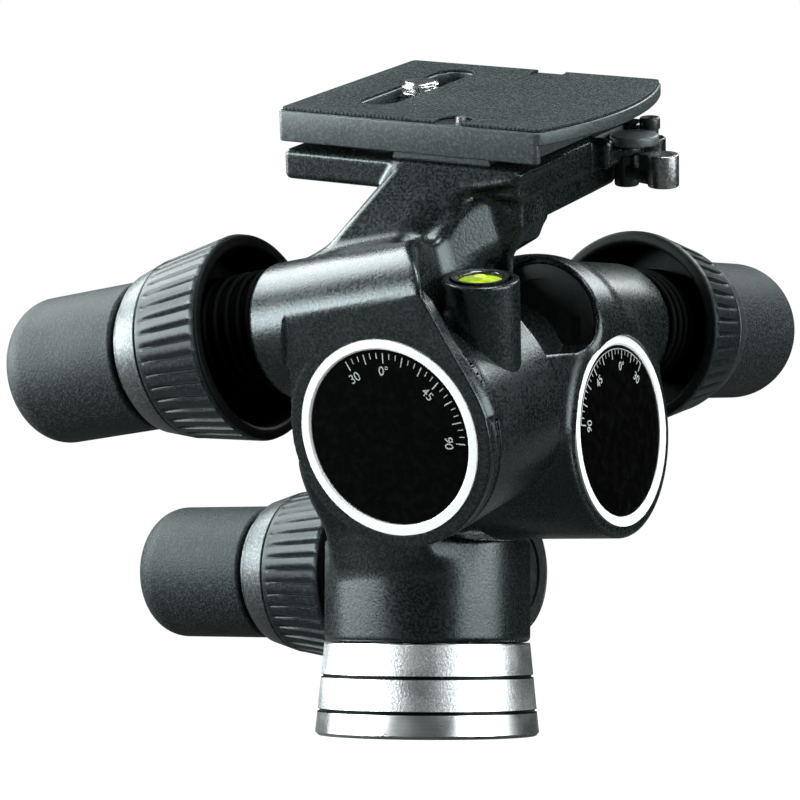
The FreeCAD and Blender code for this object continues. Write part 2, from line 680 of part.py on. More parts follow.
def make_base_screws(taps):
    """Socket-head screws, and the tapped holes that they leave in the pan spindle."""
    screws = []
    for i, place in enumerate(base_screw_places()):
        head = cylinder(f"base_screw_head_{i}", place, 3.5, 0.6, 4.4)
        shank = cylinder(f"base_screw_shank_{i}", place, 2.0, 4.4, 22.0)
        socket = cylinder(f"base_screw_socket_{i}", place, 1.7, 0.6, 2.8)
        screws.append(cut(f"base_screw_{i}", fuse(f"base_screw_solid_{i}", [head, shank]), [socket]))
    group = doc.addObject("Part::Compound", "base_screw_group")
    group.Links = screws
    node(group, "base_screws")
    spindle = next(thing for thing in NODES if thing.Label == "pan_spindle")
    NODES.remove(spindle)
    spindle.Label = "pan_spindle_blank"
    node(cut("pan_spindle_tapped", spindle, taps), "pan_spindle")


# ---------------------------------------------------------------- castings
def make_lower_body():
    """Pan body: column over the pan wheel, pan worm boss, and the arm that holds the front axis."""
    start = S["base_height"] + S["turning_gap"]
    column = cylinder("column", LEVEL, S["column_radius"], start, S["column_top"])
    axis_y = S["front_axis_y"]
    axis_z = S["front_axis_height"]
    # The neck's outline is (y, z), tangent to the boss of the front axis.
    neck_frame = frame(Vector(-14, 0, 0), Vector(1, 0, 0), Vector(0, 1, 0))
    neck = prism("neck", neck_frame,
                 [(-25.5, 46), (axis_y - 20.6, axis_z - 6.0), (axis_y, axis_z),
                  (axis_y + 19.5, axis_z + 9.0), (17, 57), (21.5, 52), (21.5, 46)], 0, 30.5)
    boss = cylinder("front_axis_boss", FRONT_IN_LEVEL, S["front_boss_radius"], -47.3, 0)
    body = fuse("lower_body_solid", [column, neck, boss, boss_solid(PAN)])
    hollows = [cylinder("pan_chamber", LEVEL, S["chamber_radius"], start - 1, 49.0),
               cylinder("pan_roof_pocket", LEVEL, S["bush_radius"], 48.0, 53.6)]
    hollows += boss_hollows(PAN)
    flange = -S["spindle_flange"]
    hollows += [cylinder("front_flange_seat", FRONT_IN_LEVEL, S["spindle_flange_radius"], flange, 0.5),
                cylinder("front_spigot_seat", FRONT_IN_LEVEL, S["spigot_radius"],
                         flange - S["spigot_length"], flange)]
    node(cut("lower_body", body, hollows), "lower_body")


FRONT_IN_LEVEL = MIDDLE.multiply(FRONT.axis)
SIDE_IN_MIDDLE = MIDDLE.inverse().multiply(TOP).multiply(SIDE.axis)


def make_middle_body():
    """Middle body: drum over the front wheel, its worm boss, and the boss for the side axis."""
    drum = cylinder("front_drum", FRONT.axis, S["drum_radius"], S["turning_gap"], S["face_station"])
    boss = cylinder("side_axis_boss", SIDE_IN_MIDDLE, S["drum_radius"], -37.4, 0)
    shaped = cut("side_axis_boss_shaped", boss,
                 [cylinder("front_boss_sweep", FRONT.axis, S["boss_sweep_radius"], -30,
                           S["turning_gap"]),
                  block("dial_side_trim", LEVEL, (S["front_dial_plane"] - 0.4, -40, -40),
                        (S["front_dial_plane"] + 20, 40, 60))])
    body = fuse("middle_body_solid", [drum, shaped, boss_solid(FRONT)])
    # A scoop through the side axis boss, in line with the inner end of the worm boss.
    scoop = cut("front_boss_scoop",
                cylinder("scoop_bore", FRONT.worm, 16.2, -50, -S["boss_start"]),
                [cylinder("scoop_hub", SIDE_IN_MIDDLE, 17.6, -45, 5),
                 cylinder("scoop_drum", FRONT.axis, 25.5, -0.3, 40)])
    hollows = chamber_hollows(FRONT) + boss_hollows(FRONT) + [scoop]
    flange = -S["spindle_flange"]
    hollows += [cylinder("side_flange_seat", SIDE_IN_MIDDLE, S["spindle_flange_radius"], flange, 0.5),
                cylinder("side_spigot_seat", SIDE_IN_MIDDLE, S["spigot_radius"],
                         flange - S["spigot_length"], flange)]
    node(cut("middle_body", body, hollows), "middle_body", MIDDLE)


def across(start):
    """A frame for outlines drawn as (x, z), pushed out towards +Y from a station."""
    return frame(point(0, start, 0), Vector(0, -1, 0), Vector(1, 0, 0))


def along(start):
    """A frame for outlines drawn as (y, z), pushed out towards +X from a station."""
    return frame(point(start, 0, 0), Vector(1, 0, 0), Vector(0, 1, 0))


def make_top_body():
    """Top body: drum over the side wheel, worm boss, arm, camera platform and level pillar."""
    flange_start = S["face_station"] - 4.6
    drum = cylinder("side_drum", SIDE.axis, S["drum_radius"], S["turning_gap"], flange_start)
    rim = cylinder("side_flange", SIDE.axis, S["flange_rim_radius"], flange_start, S["face_station"])
    # Arm: a sloping front wall, then a deep rib under the platform.
    front = prism("arm_front_outline", across(0),
                  [(-27, 22), (-29, 37.5), (-15.5, S["platform_top"]), (23, S["platform_top"]),
                   (23, 55.5), (6, 53), (-4, 40), (2, 29), (2, 22)], 0, 60)
    slope = prism("arm_slope_outline", along(-60),
                  [(-50, 22), (-50, 37), (S["platform_front"], S["platform_top"]), (-10, S["platform_top"]),
                   (-10, 52), (-36, 30), (-36, 22)], 0, 120)
    arm = common("arm", front, slope)
    rib_front = prism("rib_front_outline", across(40),
                      [(-12, 12), (-15, 45), (-15, S["platform_top"]), (S["rib_right"], S["platform_top"]),
                       (S["rib_right"], S["rib_under"]), (13.5, 36), (14, 16), (8, 12)], 0, 90)
    rib_side = prism("rib_side_outline", along(-60),
                     [(-40, 12), (-40, 55), (S["platform_front"], S["platform_top"]),
                      (24, S["platform_top"]), (24, 47), (19, S["rib_under"]), (-24, S["rib_under"]),
                      (-28, 38), (-29, 31), (-32, 28), (-32, 12)], 0, 120)
    rib = common("rib", rib_front, rib_side)
    # Web between the closed end of the worm boss and the neck of the rib, outline (x, y).
    web = prism("boss_web", LEVEL, [(3, -55), (6.5, -52), (10.5, -44.5), (16.5, -39), (16.5, -34),
                                    (3, -34)], 14, 40)
    slab = block("platform_slab", LEVEL,
                 (S["platform_left"], S["platform_front"], S["platform_under"]),
                 (S["platform_right"], S["platform_back"], S["platform_top"]))
    shelf = block("lever_shelf", LEVEL,
                  (8, S["lever_shelf_front"], S["platform_under"]),
                  (S["lever_shelf_right"], S["platform_back"], S["platform_top"]))
    lever_place = Placement(point(S["lever_x"], S["lever_y"], 0), Rotation())
    catch_place = Placement(point(S["catch_x"], S["catch_y"], 0), Rotation())
    lever_ear = cylinder("lever_ear", lever_place, 4.4, S["lever_ear_low"], S["channel_floor"])
    catch_ear = cylinder("catch_ear", catch_place, 4.0, S["platform_under"], S["channel_floor"])
    pillar_place = Placement(point(S["pillar_x"], S["pillar_y"], 0), Rotation())
    pillar = cylinder("level_pillar", pillar_place, S["pillar_radius"], 8.0, S["pillar_top"])
    body = fuse("top_body_solid", [drum, rim, boss_solid(SIDE), arm, rib, web, slab, shelf,
                                   lever_ear, catch_ear, pillar])
    groove_end = flange_start
    groove = cut("parting_groove",
                 cylinder("groove_outside", SIDE.axis, 40.0, groove_end - 0.7, groove_end),
                 [cylinder("groove_inside", SIDE.axis, S["drum_radius"] - 0.9, groove_end - 1.0,
                           groove_end + 0.3),
                  block("groove_boss_side", LEVEL, (-60, -80, 5.0), (6.5, 0, 60))])
    hollows = chamber_hollows(SIDE) + boss_hollows(SIDE) + [groove]
    hollows += platform_hollows(lever_place, catch_place)
    hollows.append(cylinder("vial_seat", pillar_place, S["vial_radius"] + 1.4,
                            S["pillar_top"] - 6.0, S["pillar_top"] + 1))
    node(cut("top_body", body, hollows), "top_body", TOP)
    return lever_place, catch_place, pillar_place


FOOT_LEFT = -20.0
FOOT_RIGHT = 10.0
FOOT_LEAN = 0.5
JAW_FRONT = 9.0
JAW_BACK = 25.0


def platform_hollows(lever_place, catch_place):
    """The dovetail channel, the pocket of the clamp jaw, and the holes for lever and catch."""
    floor = S["channel_floor"]
    top = S["platform_top"] + 1
    rise = float(top) - float(floor)
    gap = 0.3
    channel = prism("dovetail_channel", across(-30.5),
                    [(FOOT_LEFT - gap, floor), (FOOT_LEFT - gap + FOOT_LEAN * rise, top),
                     (FOOT_RIGHT + 1.2 - FOOT_LEAN * rise, top), (FOOT_RIGHT + 1.2, floor)], 0, -70)
    pocket = block("jaw_pocket", LEVEL, (8.0, JAW_FRONT - gap, floor),
                   (S["lever_x"] - 3.9, JAW_BACK + gap, top))
    sweep = cylinder("disc_pocket", lever_place, 8.6, floor, top)
    pivot = cylinder("pivot_hole", lever_place, S["lever_pivot_radius"] + 0.05, 44.0, floor + 1)
    post = cylinder("post_clearance", lever_place, S["lever_post_radius"] + 0.4, 40.0,
                    S["lever_ear_low"])
    catch = cylinder("catch_hole", catch_place, S["catch_radius"] + 0.06, 46.0, 60.0)
    guide = cylinder("catch_head_pocket", catch_place, 3.0, floor, top)
    return [channel, pocket, sweep, pivot, post, catch, guide]


# ---------------------------------------------------------------- clamp and level
def make_clamp(lever_place, catch_place):
    """Locking lever with an eccentric disc, the jaw that it frees, and the small sprung catch."""
    floor = S["channel_floor"] + 0.2
    disc_place = lifted(lever_place, x=S["lever_disc_x"], y=S["lever_disc_y"])
    disc = cylinder("lever_disc", disc_place, S["lever_disc_radius"], floor, floor + 2.4)
    pivot_low = S["lever_ear_low"] - 0.05
    pivot = cylinder("lever_pivot", lever_place, S["lever_pivot_radius"], pivot_low, floor)
    tap = cylinder("lever_tap", lever_place, 1.2, pivot_low - 1.0, 56.0)
    node(cut("lever_cut", fuse("lever_solid", [disc, pivot]), [tap]), "clamp_lever", TOP)
    # The post hangs under the pivot and carries the arm of the finger piece.
    arm_place = lever_place.multiply(Placement(Vector(), Rotation(Vector(0, 0, 1), -16.5)))
    post = cylinder("post", lever_place, S["lever_post_radius"], S["lever_post_low"], pivot_low)
    shank = cylinder("post_shank", lever_place, 1.2, S["lever_post_low"] + 1, 56.0)
    arm_low = [(0, -2.5), (9.5, -2.5), (9.5, 2.5), (0, 2.5)]
    arm = prism("post_arm", arm_place, arm_low, 47.6, 50.6)
    arm_end = prism("post_arm_end", arm_place, [(6.2, -2.5), (9.5, -2.5), (9.5, 2.5), (6.2, 2.5)],
                    46.9, 54.4)
    node(fuse("post_solid", [post, shank, arm, arm_end]), "lever_post", TOP)
    finger_place = lifted(arm_place, x=S["finger_reach"])
    finger = cylinder("finger_post", finger_place, S["finger_radius"], 46.5, 54.7)
    back = cylinder("finger_hollow", lever_place, 9.0, 40.0, 60.0)
    socket = prism("finger_socket", arm_place, [(6, -2.5), (9.5, -2.5), (9.5, 2.5), (6, 2.5)],
                   46.9, 54.4)
    node(cut("finger", finger, [back, socket]), "lever_finger", TOP)
    foot_gap = 0.15
    rise = 2.9
    low = floor
    jaw_right = S["lever_x"] + S["lever_disc_x"] - S["lever_disc_radius"] - 0.12
    jaw = prism("jaw", across(JAW_BACK),
                [(FOOT_RIGHT + foot_gap, low), (FOOT_RIGHT + foot_gap - FOOT_LEAN * rise, low + rise),
                 (jaw_right, low + rise), (jaw_right, low)], 0, JAW_BACK - JAW_FRONT)
    node(jaw, "clamp_jaw", TOP)
    stem = cylinder("catch_stem", catch_place, S["catch_radius"], 49.0, 60.5)
    head = cylinder("catch_head", catch_place, S["catch_radius"] + 0.4, 57.5, 60.5)
    node(fuse("catch_solid", [stem, head]), "lever_catch", TOP)


def make_level(pillar_place):
    """Round spirit level in the pillar: a ring and a sealed vial."""
    top = S["pillar_top"]
    ring = cut("level_ring", cylinder("level_ring_outside", pillar_place, S["vial_radius"] + 1.4,
                                      top - 6.0, top + 0.4),
               [cylinder("level_ring_bore", pillar_place, S["vial_radius"], top - 6.0, top + 0.4)])
    node(ring, "level_ring", TOP)
    vial = cylinder("level_vial_solid", pillar_place, S["vial_radius"], top - 6.0, top - 0.2)
    node(vial, "level_vial", TOP)


# ---------------------------------------------------------------- quick release plate
def plate_outline(inset):
    """Edge of the plate seen from above: three straight sides and a bowed right side."""
    left = float(S["plate_left"]) + inset
    right = float(S["plate_right"]) - inset * 0.3
    front = float(S["plate_front"]) + inset
    back = float(S["plate_back"]) - inset
    bow = point(right + SIZES["plate_bulge"] - inset * 0.7, (front + back) / 2, 0)
    corners = [point(right, back, 0), point(left, back, 0), point(left, front, 0),
               point(right, front, 0)]
    edges = [Part.makeLine(corners[i], corners[i + 1]) for i in range(3)]
    edges.append(Part.Arc(corners[3], bow, corners[0]).toShape())
    return Part.Wire(edges)


def plate_slice(name, inset, low, high):
    """The plate's outline as a flat solid between two heights."""
    thing = doc.addObject("Part::Feature", name)
    face = Part.Face(plate_outline(inset))
    face.translate(point(0, 0, low))
    thing.Shape = face.extrude(point(0, 0, float(high) - float(low)))
    return thing


def slot_solid(name, radius, front, back, low, high):
    """A round-ended slot along Y at the camera screw's line."""
    ends = []
    for number, y in enumerate((front, back)):
        place = Placement(point(S["slot_x"], y, 0), Rotation())
        ends.append(cylinder(f"{name}_end_{number}", place, radius, low, high))
    middle = block(name + "_middle", LEVEL, (S["slot_x"] - radius, front, low),
                   (S["slot_x"] + radius, back, high))
    return fuse(name, ends + [middle])


def notch_solid(name, side, low, high):
    """Round notch in the front or back edge of the pad."""
    place = Placement(point(S[side + "_notch_x"], S[side + "_notch_y"], 0), Rotation())
    return cylinder(name, place, S["notch_radius"], low, high)


def make_plate():
    """Quick release plate with its dovetail foot, rubber pad and camera screw."""
    under = S["plate_under"]
    face = S["plate_face"]
    lip = plate_slice("plate_lip", 0, S["lip_under"], face)
    deck = block("plate_deck", LEVEL, (S["plate_left"], S["plate_front"], under),
                 (19.5, S["plate_back"], S["lip_under"] + 0.5))
    front_wall = block("plate_front_wall", LEVEL, (10, S["plate_front"], under),
                       (S["plate_right"] - 0.4, S["plate_front"] + 2.4, S["lip_under"] + 0.5))
    foot_low = S["channel_floor"] + 0.3
    rise = float(under) - float(foot_low)
    foot = prism("plate_foot", across(-30.2),
                 [(FOOT_LEFT, foot_low), (FOOT_LEFT + FOOT_LEAN * rise, under),
                  (FOOT_RIGHT - FOOT_LEAN * rise, under), (FOOT_RIGHT, foot_low)], 0, -62)
    solid = fuse("plate_solid", [lip, deck, front_wall, foot])
    above = S["pad_top"] + 1
    slot_start = S["slot_front"] + S["slot_radius"]
    slot_end = S["slot_back"] - S["slot_radius"]
    pin_place = Placement(point(S["front_notch_x"] + 0.7, S["front_notch_y"] + 2.2, 0), Rotation())
    hollows = [slot_solid("screw_slot", S["slot_radius"], slot_start, slot_end, under - 1, above),
               slot_solid("head_slot", 8.2, slot_start, slot_end, under - 1, S["lip_under"]),
               cylinder("pin_hole", pin_place, 1.2, face - 2, above)]
    node(cut("plate_cut", solid, hollows), "quick_plate", TOP)
    pad = plate_slice("pad_sheet", 0.6, face, S["pad_top"])
    openings = [slot_solid("pad_slot", S["slot_radius"] + 0.3, slot_start, slot_end,
                           face - 1, above),
                notch_solid("pad_front_notch", "front", face - 1, above),
                notch_solid("pad_back_notch", "back", face - 1, above)]
    node(cut("pad_cut", pad, openings), "plate_pad", TOP)
    pin = cylinder("locating_pin_solid", pin_place, 1.2, face - 2, S["pad_top"] + 0.3)
    node(pin, "locating_pin", TOP)


def make_camera_screw():
    """Camera screw with a coin slot, its retaining clip, and the washer that guides it."""
    place = Placement(point(S["slot_x"], S["screw_y"], 0), Rotation())
    low = S["screw_head_low"]
    high = S["screw_head_high"]
    head = cylinder("screw_head", place, S["screw_head_radius"], low, high)
    neck = cylinder("screw_neck", place, S["screw_neck"], high, S["thread_low"])
    stud = cylinder("screw_stud", place, S["screw_radius"], S["thread_low"], S["screw_top"])
    coin = block("coin_slot", lifted(place, z=low), (-8, -0.9, 0), (8, 0.9, 1.4))
    node(cut("screw_cut", fuse("screw_solid", [head, neck, stud]), [coin]), "camera_screw", TOP)
    clip = cut("clip_cut", cylinder("clip_outside", place, 6.2, high + 0.05, high + 0.55),
               [cylinder("clip_bore", place, S["screw_neck"] + 0.05, high, high + 1)])
    node(clip, "screw_clip", TOP)
    lip = S["lip_under"]
    washer = cut("washer_cut", cylinder("washer_outside", place, 7.9, lip - 0.45, lip - 0.05),
                 [cylinder("washer_bore", place, S["screw_radius"] + 0.15, lip - 0.7, lip)])
    node(washer, "screw_washer", TOP)


# ---------------------------------------------------------------- build everything
def check_and_write():
    """Stop on any failed feature or bad solid, then write one file for each sub-part."""
    doc.recompute()
    for thing in doc.Objects:
        bad = [word for word in thing.State if word in ("Invalid", "Error")]
        if bad:
            raise RuntimeError(f"{thing.Name} ({thing.Label}) is {bad}")
    for thing in NODES:
        if thing.Shape.isNull() or not thing.Shape.isValid():
            raise RuntimeError(f"{thing.Label} has no valid shape")
    os.makedirs("parts", exist_ok=True)
    for thing in NODES:
        thing.Shape.exportStep(f"parts/{thing.Label}.step")
        print(thing.Label, "solids", len(thing.Shape.Solids), "volume", round(thing.Shape.Volume, 1))


def main():
    for drive in DRIVES:
        make_spindle(drive)
        make_wheel(drive)
        make_bushes(drive)
        make_bearing_plate(drive)
        make_worm(drive)
        make_sleeve(drive)
        make_worm_bushes(drive)
        if drive is not SIDE:
            make_cap(drive)
        make_collar(drive)
        make_collar_ring(drive)
        make_spring(drive)
        make_knob(drive)
    for drive in (FRONT, SIDE):
        make_dial(drive)
    make_base_screws(make_base())
    make_lower_body()
    make_middle_body()
    lever_place, catch_place, pillar_place = make_top_body()
    make_clamp(lever_place, catch_place)
    make_level(pillar_place)
    make_plate()
    make_camera_screw()
    check_and_write()


main()
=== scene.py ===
import math

import bmesh
import bpy
import numpy as np
from mathutils import Matrix, Vector


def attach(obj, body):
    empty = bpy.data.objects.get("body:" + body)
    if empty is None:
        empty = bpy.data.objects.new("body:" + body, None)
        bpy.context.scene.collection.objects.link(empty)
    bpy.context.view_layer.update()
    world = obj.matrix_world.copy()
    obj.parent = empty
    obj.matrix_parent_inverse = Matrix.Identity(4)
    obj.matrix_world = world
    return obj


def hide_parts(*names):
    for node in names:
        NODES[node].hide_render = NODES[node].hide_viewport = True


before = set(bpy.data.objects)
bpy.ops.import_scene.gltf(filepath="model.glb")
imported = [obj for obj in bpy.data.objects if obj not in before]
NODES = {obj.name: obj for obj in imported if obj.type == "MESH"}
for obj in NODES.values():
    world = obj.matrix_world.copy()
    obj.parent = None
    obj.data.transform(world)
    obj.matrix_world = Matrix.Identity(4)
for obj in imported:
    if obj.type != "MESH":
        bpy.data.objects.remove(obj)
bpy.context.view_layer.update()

bl_info = {
    "name": "Geared tripod head",
    "version": (1, 0, 0),
    "blender": (4, 5, 0),
    "location": "View3D > Sidebar > Geared head",
    "description": "Castings, knobs, dials, plate and finishes of a geared tripod head",
    "category": "Object",
}

MM = 0.001


# ------------------------------------------------------------------ frames, in millimetres
class Place:
    """A frame: its origin, and its three axes as the columns of a matrix."""

    def __init__(self, origin=(0.0, 0.0, 0.0), axes=None):
        self.origin = np.array(origin, float)
        self.axes = np.eye(3) if axes is None else np.array(axes, float)

    def inner(self, origin, axes=None):
        """A frame given inside this one."""
        inside = Place(origin, axes)
        return Place(self.origin + self.axes @ inside.origin, self.axes @ inside.axes)

    def out(self, points):
        return np.asarray(points, float) @ self.axes.T + self.origin

    def local(self, points):
        return (points - self.origin.astype(np.float32)) @ self.axes.astype(np.float32)

    def matrix(self):
        """The same frame for Blender, in metres."""
        whole = Matrix(self.axes.tolist()).to_4x4()
        whole.translation = Vector((self.origin * MM).tolist())
        return whole


def turn(axis, degrees):
    return np.array(Matrix.Rotation(math.radians(degrees), 3, axis))


def aimed(origin, z_axis, x_axis):
    z_axis, x_axis = np.array(z_axis, float), np.array(x_axis, float)
    return Place(origin, np.column_stack((x_axis, np.cross(z_axis, x_axis), z_axis)))


FRONT_LEAN = 18.6
SIDE_LEAN = 9.0
LEVEL = Place()
MIDDLE = Place((0, -20.3, 78.65), turn("X", FRONT_LEAN))
TOP = MIDDLE.inner((44, 0, 18.15), turn("Y", SIDE_LEAN))
SLOPE = math.radians(15.0)
CENTRE_DISTANCE = 26.8
RISE, RUN = math.sin(SLOPE), math.cos(SLOPE)


class Drive:
    """One worm drive: its wheel axis, worm and sleeve, as frames inside its carrier."""

    def __init__(self, name, carrier, body, wheel, towards_worm, knob_way, outward, reach):
        wheel, towards_worm = np.array(wheel, float), np.array(towards_worm, float)
        outward = np.array(outward, float)
        self.name, self.carrier, self.body, self.reach = name, carrier, body, reach
        self.axis = aimed(wheel - outward * 20.0, outward, towards_worm)
        self.worm = aimed(wheel + towards_worm * CENTRE_DISTANCE, knob_way, -towards_worm)
        lobe = math.radians(63)
        self.sleeve = self.worm.inner((-2 * math.cos(lobe), -2 * math.sin(lobe), 0))

    def world(self, inside):
        return self.carrier.inner(inside.origin, inside.axes)


PAN = Drive("pan", LEVEL, "pan_body", (0, 0, 43.5), (0, 1, 0), (-1, 0, 0), (0, 0, 1), 36.0)
FRONT = Drive("front", MIDDLE, "tilt_body", (53.3, 0, 0), (0, RISE, RUN), (0, RUN, -RISE),
              (1, 0, 0), 36.0)
SIDE = Drive("side", TOP, "platform", (0, -51.4, 0), (-RISE, 0, RUN), (-RUN, 0, -RISE),
             (0, -1, 0), 40.4)
DRIVES = (PAN, FRONT, SIDE)
FRONT_AXIS_LEVEL = MIDDLE.inner(FRONT.axis.origin, FRONT.axis.axes)
SIDE_AXIS_MIDDLE = Place((44, 0, 18.15), turn("Y", SIDE_LEAN)).inner(SIDE.axis.origin, SIDE.axis.axes)


# ------------------------------------------------------------------ distance fields
def rod(p, place, radius, start, end, soft=0.0):
    """Round bar on the Z axis of a frame, its two edges rounded."""
    q = place.local(p)
    radial = np.hypot(q[:, 0], q[:, 1]) - (radius - soft)
    axial = np.abs(q[:, 2] - (start + end) / 2) - ((end - start) / 2 - soft)
    return box_distance(radial, axial) - soft


def box_distance(*walls):
    inside = np.minimum(np.maximum.reduce(walls), 0)
    outside = np.sqrt(sum(np.maximum(wall, 0) ** 2 for wall in walls))
    return inside + outside


def brick(p, low, high, soft=0.0):
    walls = [np.abs(p[:, i] - (low[i] + high[i]) / 2) - ((high[i] - low[i]) / 2 - soft)
             for i in range(3)]
    return box_distance(*walls) - soft


def outline_distance(u, v, corners):
    sign = np.ones_like(u)
    best = np.full_like(u, 1e9)
    for (ax, ay), (bx, by) in zip(corners, corners[1:] + corners[:1]):
        ex, ey = bx - ax, by - ay
        wx, wy = u - ax, v - ay
        part = np.clip((wx * ex + wy * ey) / (ex * ex + ey * ey), 0, 1)
        best = np.minimum(best, (wx - ex * part) ** 2 + (wy - ey * part) ** 2)
        above, below, left = v >= ay, v < by, ex * wy > ey * wx
        sign = np.where((above & below & left) | ~(above | below | left), -sign, sign)
    return sign * np.sqrt(best)


def rounded_outline(corners, radius, steps=3):
    """The outline with an arc at each corner."""
    done = []
    count = len(corners)
    for i in range(count):
        here = np.array(corners[i], float)
        back = np.array(corners[i - 1], float) - here
        ahead = np.array(corners[(i + 1) % count], float) - here
        back_length, ahead_length = np.linalg.norm(back), np.linalg.norm(ahead)
        back, ahead = back / back_length, ahead / ahead_length
        half = math.acos(float(np.clip(back @ ahead, -1, 1))) / 2
        reach = min(radius / math.tan(half), 0.45 * back_length, 0.45 * ahead_length)
        for step in range(steps + 1):
            t = step / steps
            done.append(tuple((1 - t) ** 2 * (here + back * reach) + 2 * t * (1 - t) * here
                              + t ** 2 * (here + ahead * reach)))
    return done


def sheet(p, along, outline, start, end, soft=0.0):
    """An outline pushed along one axis: "Y" takes (x, z) outlines, "X" (y, z), "Z" (x, y)."""
    u, v, w = {"X": (1, 2, 0), "Y": (0, 2, 1), "Z": (0, 1, 2)}[along]
    flat = outline_distance(p[:, u], p[:, v], outline) + soft
    axial = np.abs(p[:, w] - (start + end) / 2) - ((end - start) / 2 - soft)
    return box_distance(flat, axial) - soft


def groove(p, stations):
    """A tube through stations of (x, y, z, radius)."""
    best = np.full(len(p), 1e9, np.float32)
    for a, b in zip(stations, stations[1:]):
        a, b = np.array(a, np.float32), np.array(b, np.float32)
        way = b[:3] - a[:3]
        part = np.clip(((p - a[:3]) @ way) / (way @ way), 0, 1)
        gap = p - a[:3] - part[:, None] * way
        best = np.minimum(best, np.sqrt((gap ** 2).sum(1)) - (a[3] + part * (b[3] - a[3])))
    return best


def merge(a, b, fillet):
    """Union with a fillet."""
    near = np.maximum(fillet - np.abs(a - b), 0)
    return np.minimum(a, b) - near * near / (4 * fillet)


def meet(a, b, edge):
    """What two solids share, its edge rounded."""
    return -merge(-a, -b, edge)


def carve(a, b, edge=0.35):
    """The first solid less the second."""
    return -merge(-a, b, edge)


# ------------------------------------------------------------------ meshing of fields
BLOCK = 8


def sample(field, low, high, step):
    """Field values on a grid; far from the surface one value stands for a block."""
    counts = np.ceil((np.array(high) - low) / (step * BLOCK)).astype(int) + 1
    starts = np.stack(np.meshgrid(*[np.arange(n) for n in counts], indexing="ij"), -1)
    starts = starts.reshape(-1, 3) * BLOCK
    low = np.array(low, np.float32)
    centres = low + step * (starts + (BLOCK - 1) / 2).astype(np.float32)
    values = field(centres)
    blocks = np.repeat(values.astype(np.float32), BLOCK ** 3).reshape(-1, BLOCK, BLOCK, BLOCK)
    near = np.nonzero(np.abs(values) < step * (BLOCK / 2 + 1) * math.sqrt(3))[0]
    cells = np.stack(np.meshgrid(*[np.arange(BLOCK)] * 3, indexing="ij"), -1).reshape(1, -1, 3)
    for some in np.array_split(near, max(1, len(near) // 250)):
        points = low + step * (starts[some][:, None, :] + cells).astype(np.float32)
        blocks[some] = field(points.reshape(-1, 3)).reshape(-1, BLOCK, BLOCK, BLOCK)
    grid = blocks.reshape(*counts, BLOCK, BLOCK, BLOCK).transpose(0, 3, 1, 4, 2, 5)
    return grid.reshape(counts * BLOCK)


def net(grid):
    """Points and quads of the surface where the grid changes sign."""
    size = np.array(grid.shape)
    strides = np.array([size[1] * size[2], size[2], 1])
    total = int(size.prod())
    weight = np.zeros(total)
    place = np.zeros((total, 3))
    quads = []
    for axis in range(3):
        first = np.take(grid, np.arange(size[axis] - 1), axis)
        second = np.take(grid, np.arange(1, size[axis]), axis)
        spots = np.argwhere((first < 0) != (second < 0))
        a, b = first[tuple(spots.T)], second[tuple(spots.T)]
        points = spots.astype(float)
        points[:, axis] += a / (a - b)
        others = [i for i in range(3) if i != axis]
        inner = (spots[:, others] >= 1).all(1)
        spots, points, a = spots[inner], points[inner], a[inner]
        ids = []
        for du, dv in ((0, 0), (1, 0), (1, 1), (0, 1)):
            cell = spots.copy()
            cell[:, others[0]] -= du
            cell[:, others[1]] -= dv
            flat = cell @ strides
            ids.append(flat)
            weight += np.bincount(flat, minlength=total)
            for i in range(3):
                place[:, i] += np.bincount(flat, points[:, i], total)
        ids = np.stack(ids, 1)
        ids[(a < 0) ^ (axis != 1)] = ids[(a < 0) ^ (axis != 1)][:, ::-1]
        quads.append(ids)
    quads = np.concatenate(quads)
    used, numbers = np.unique(quads, return_inverse=True)
    return place[used] / weight[used][:, None], numbers.reshape(-1, 4)


def slope_of(field, points, reach=0.04):
    slope = np.empty_like(points)
    for i in range(3):
        move = np.zeros(3, np.float32)
        move[i] = reach
        slope[:, i] = (field(points + move) - field(points - move)) / (2 * reach)
    return slope


def cast_object(name, field, carrier, low, high, step):
    """A mesh of the field's surface, each point settled on it, shaded by the field's slope."""
    points, quads = net(sample(field, low, high, step))
    points = (np.array(low) + points * step).astype(np.float32)
    for _ in range(3):
        slope = slope_of(field, points)
        shift = field(points) / np.maximum((slope ** 2).sum(1), 0.2)
        points -= np.clip(shift, -step / 2, step / 2)[:, None] * slope
    normals = slope_of(field, points)
    normals /= np.maximum(np.linalg.norm(normals, axis=1), 1e-6)[:, None]
    mesh = bpy.data.meshes.new(name)
    mesh.from_pydata((carrier.out(points) * MM).tolist(), [], quads.tolist())
    mesh.polygons.foreach_set("use_smooth", [True] * len(mesh.polygons))
    mesh.normals_split_custom_set_from_vertices((normals @ carrier.axes.T).tolist())
    return link(bpy.data.objects.new(name, mesh))


def link(thing):
    bpy.context.scene.collection.objects.link(thing)
    return thing


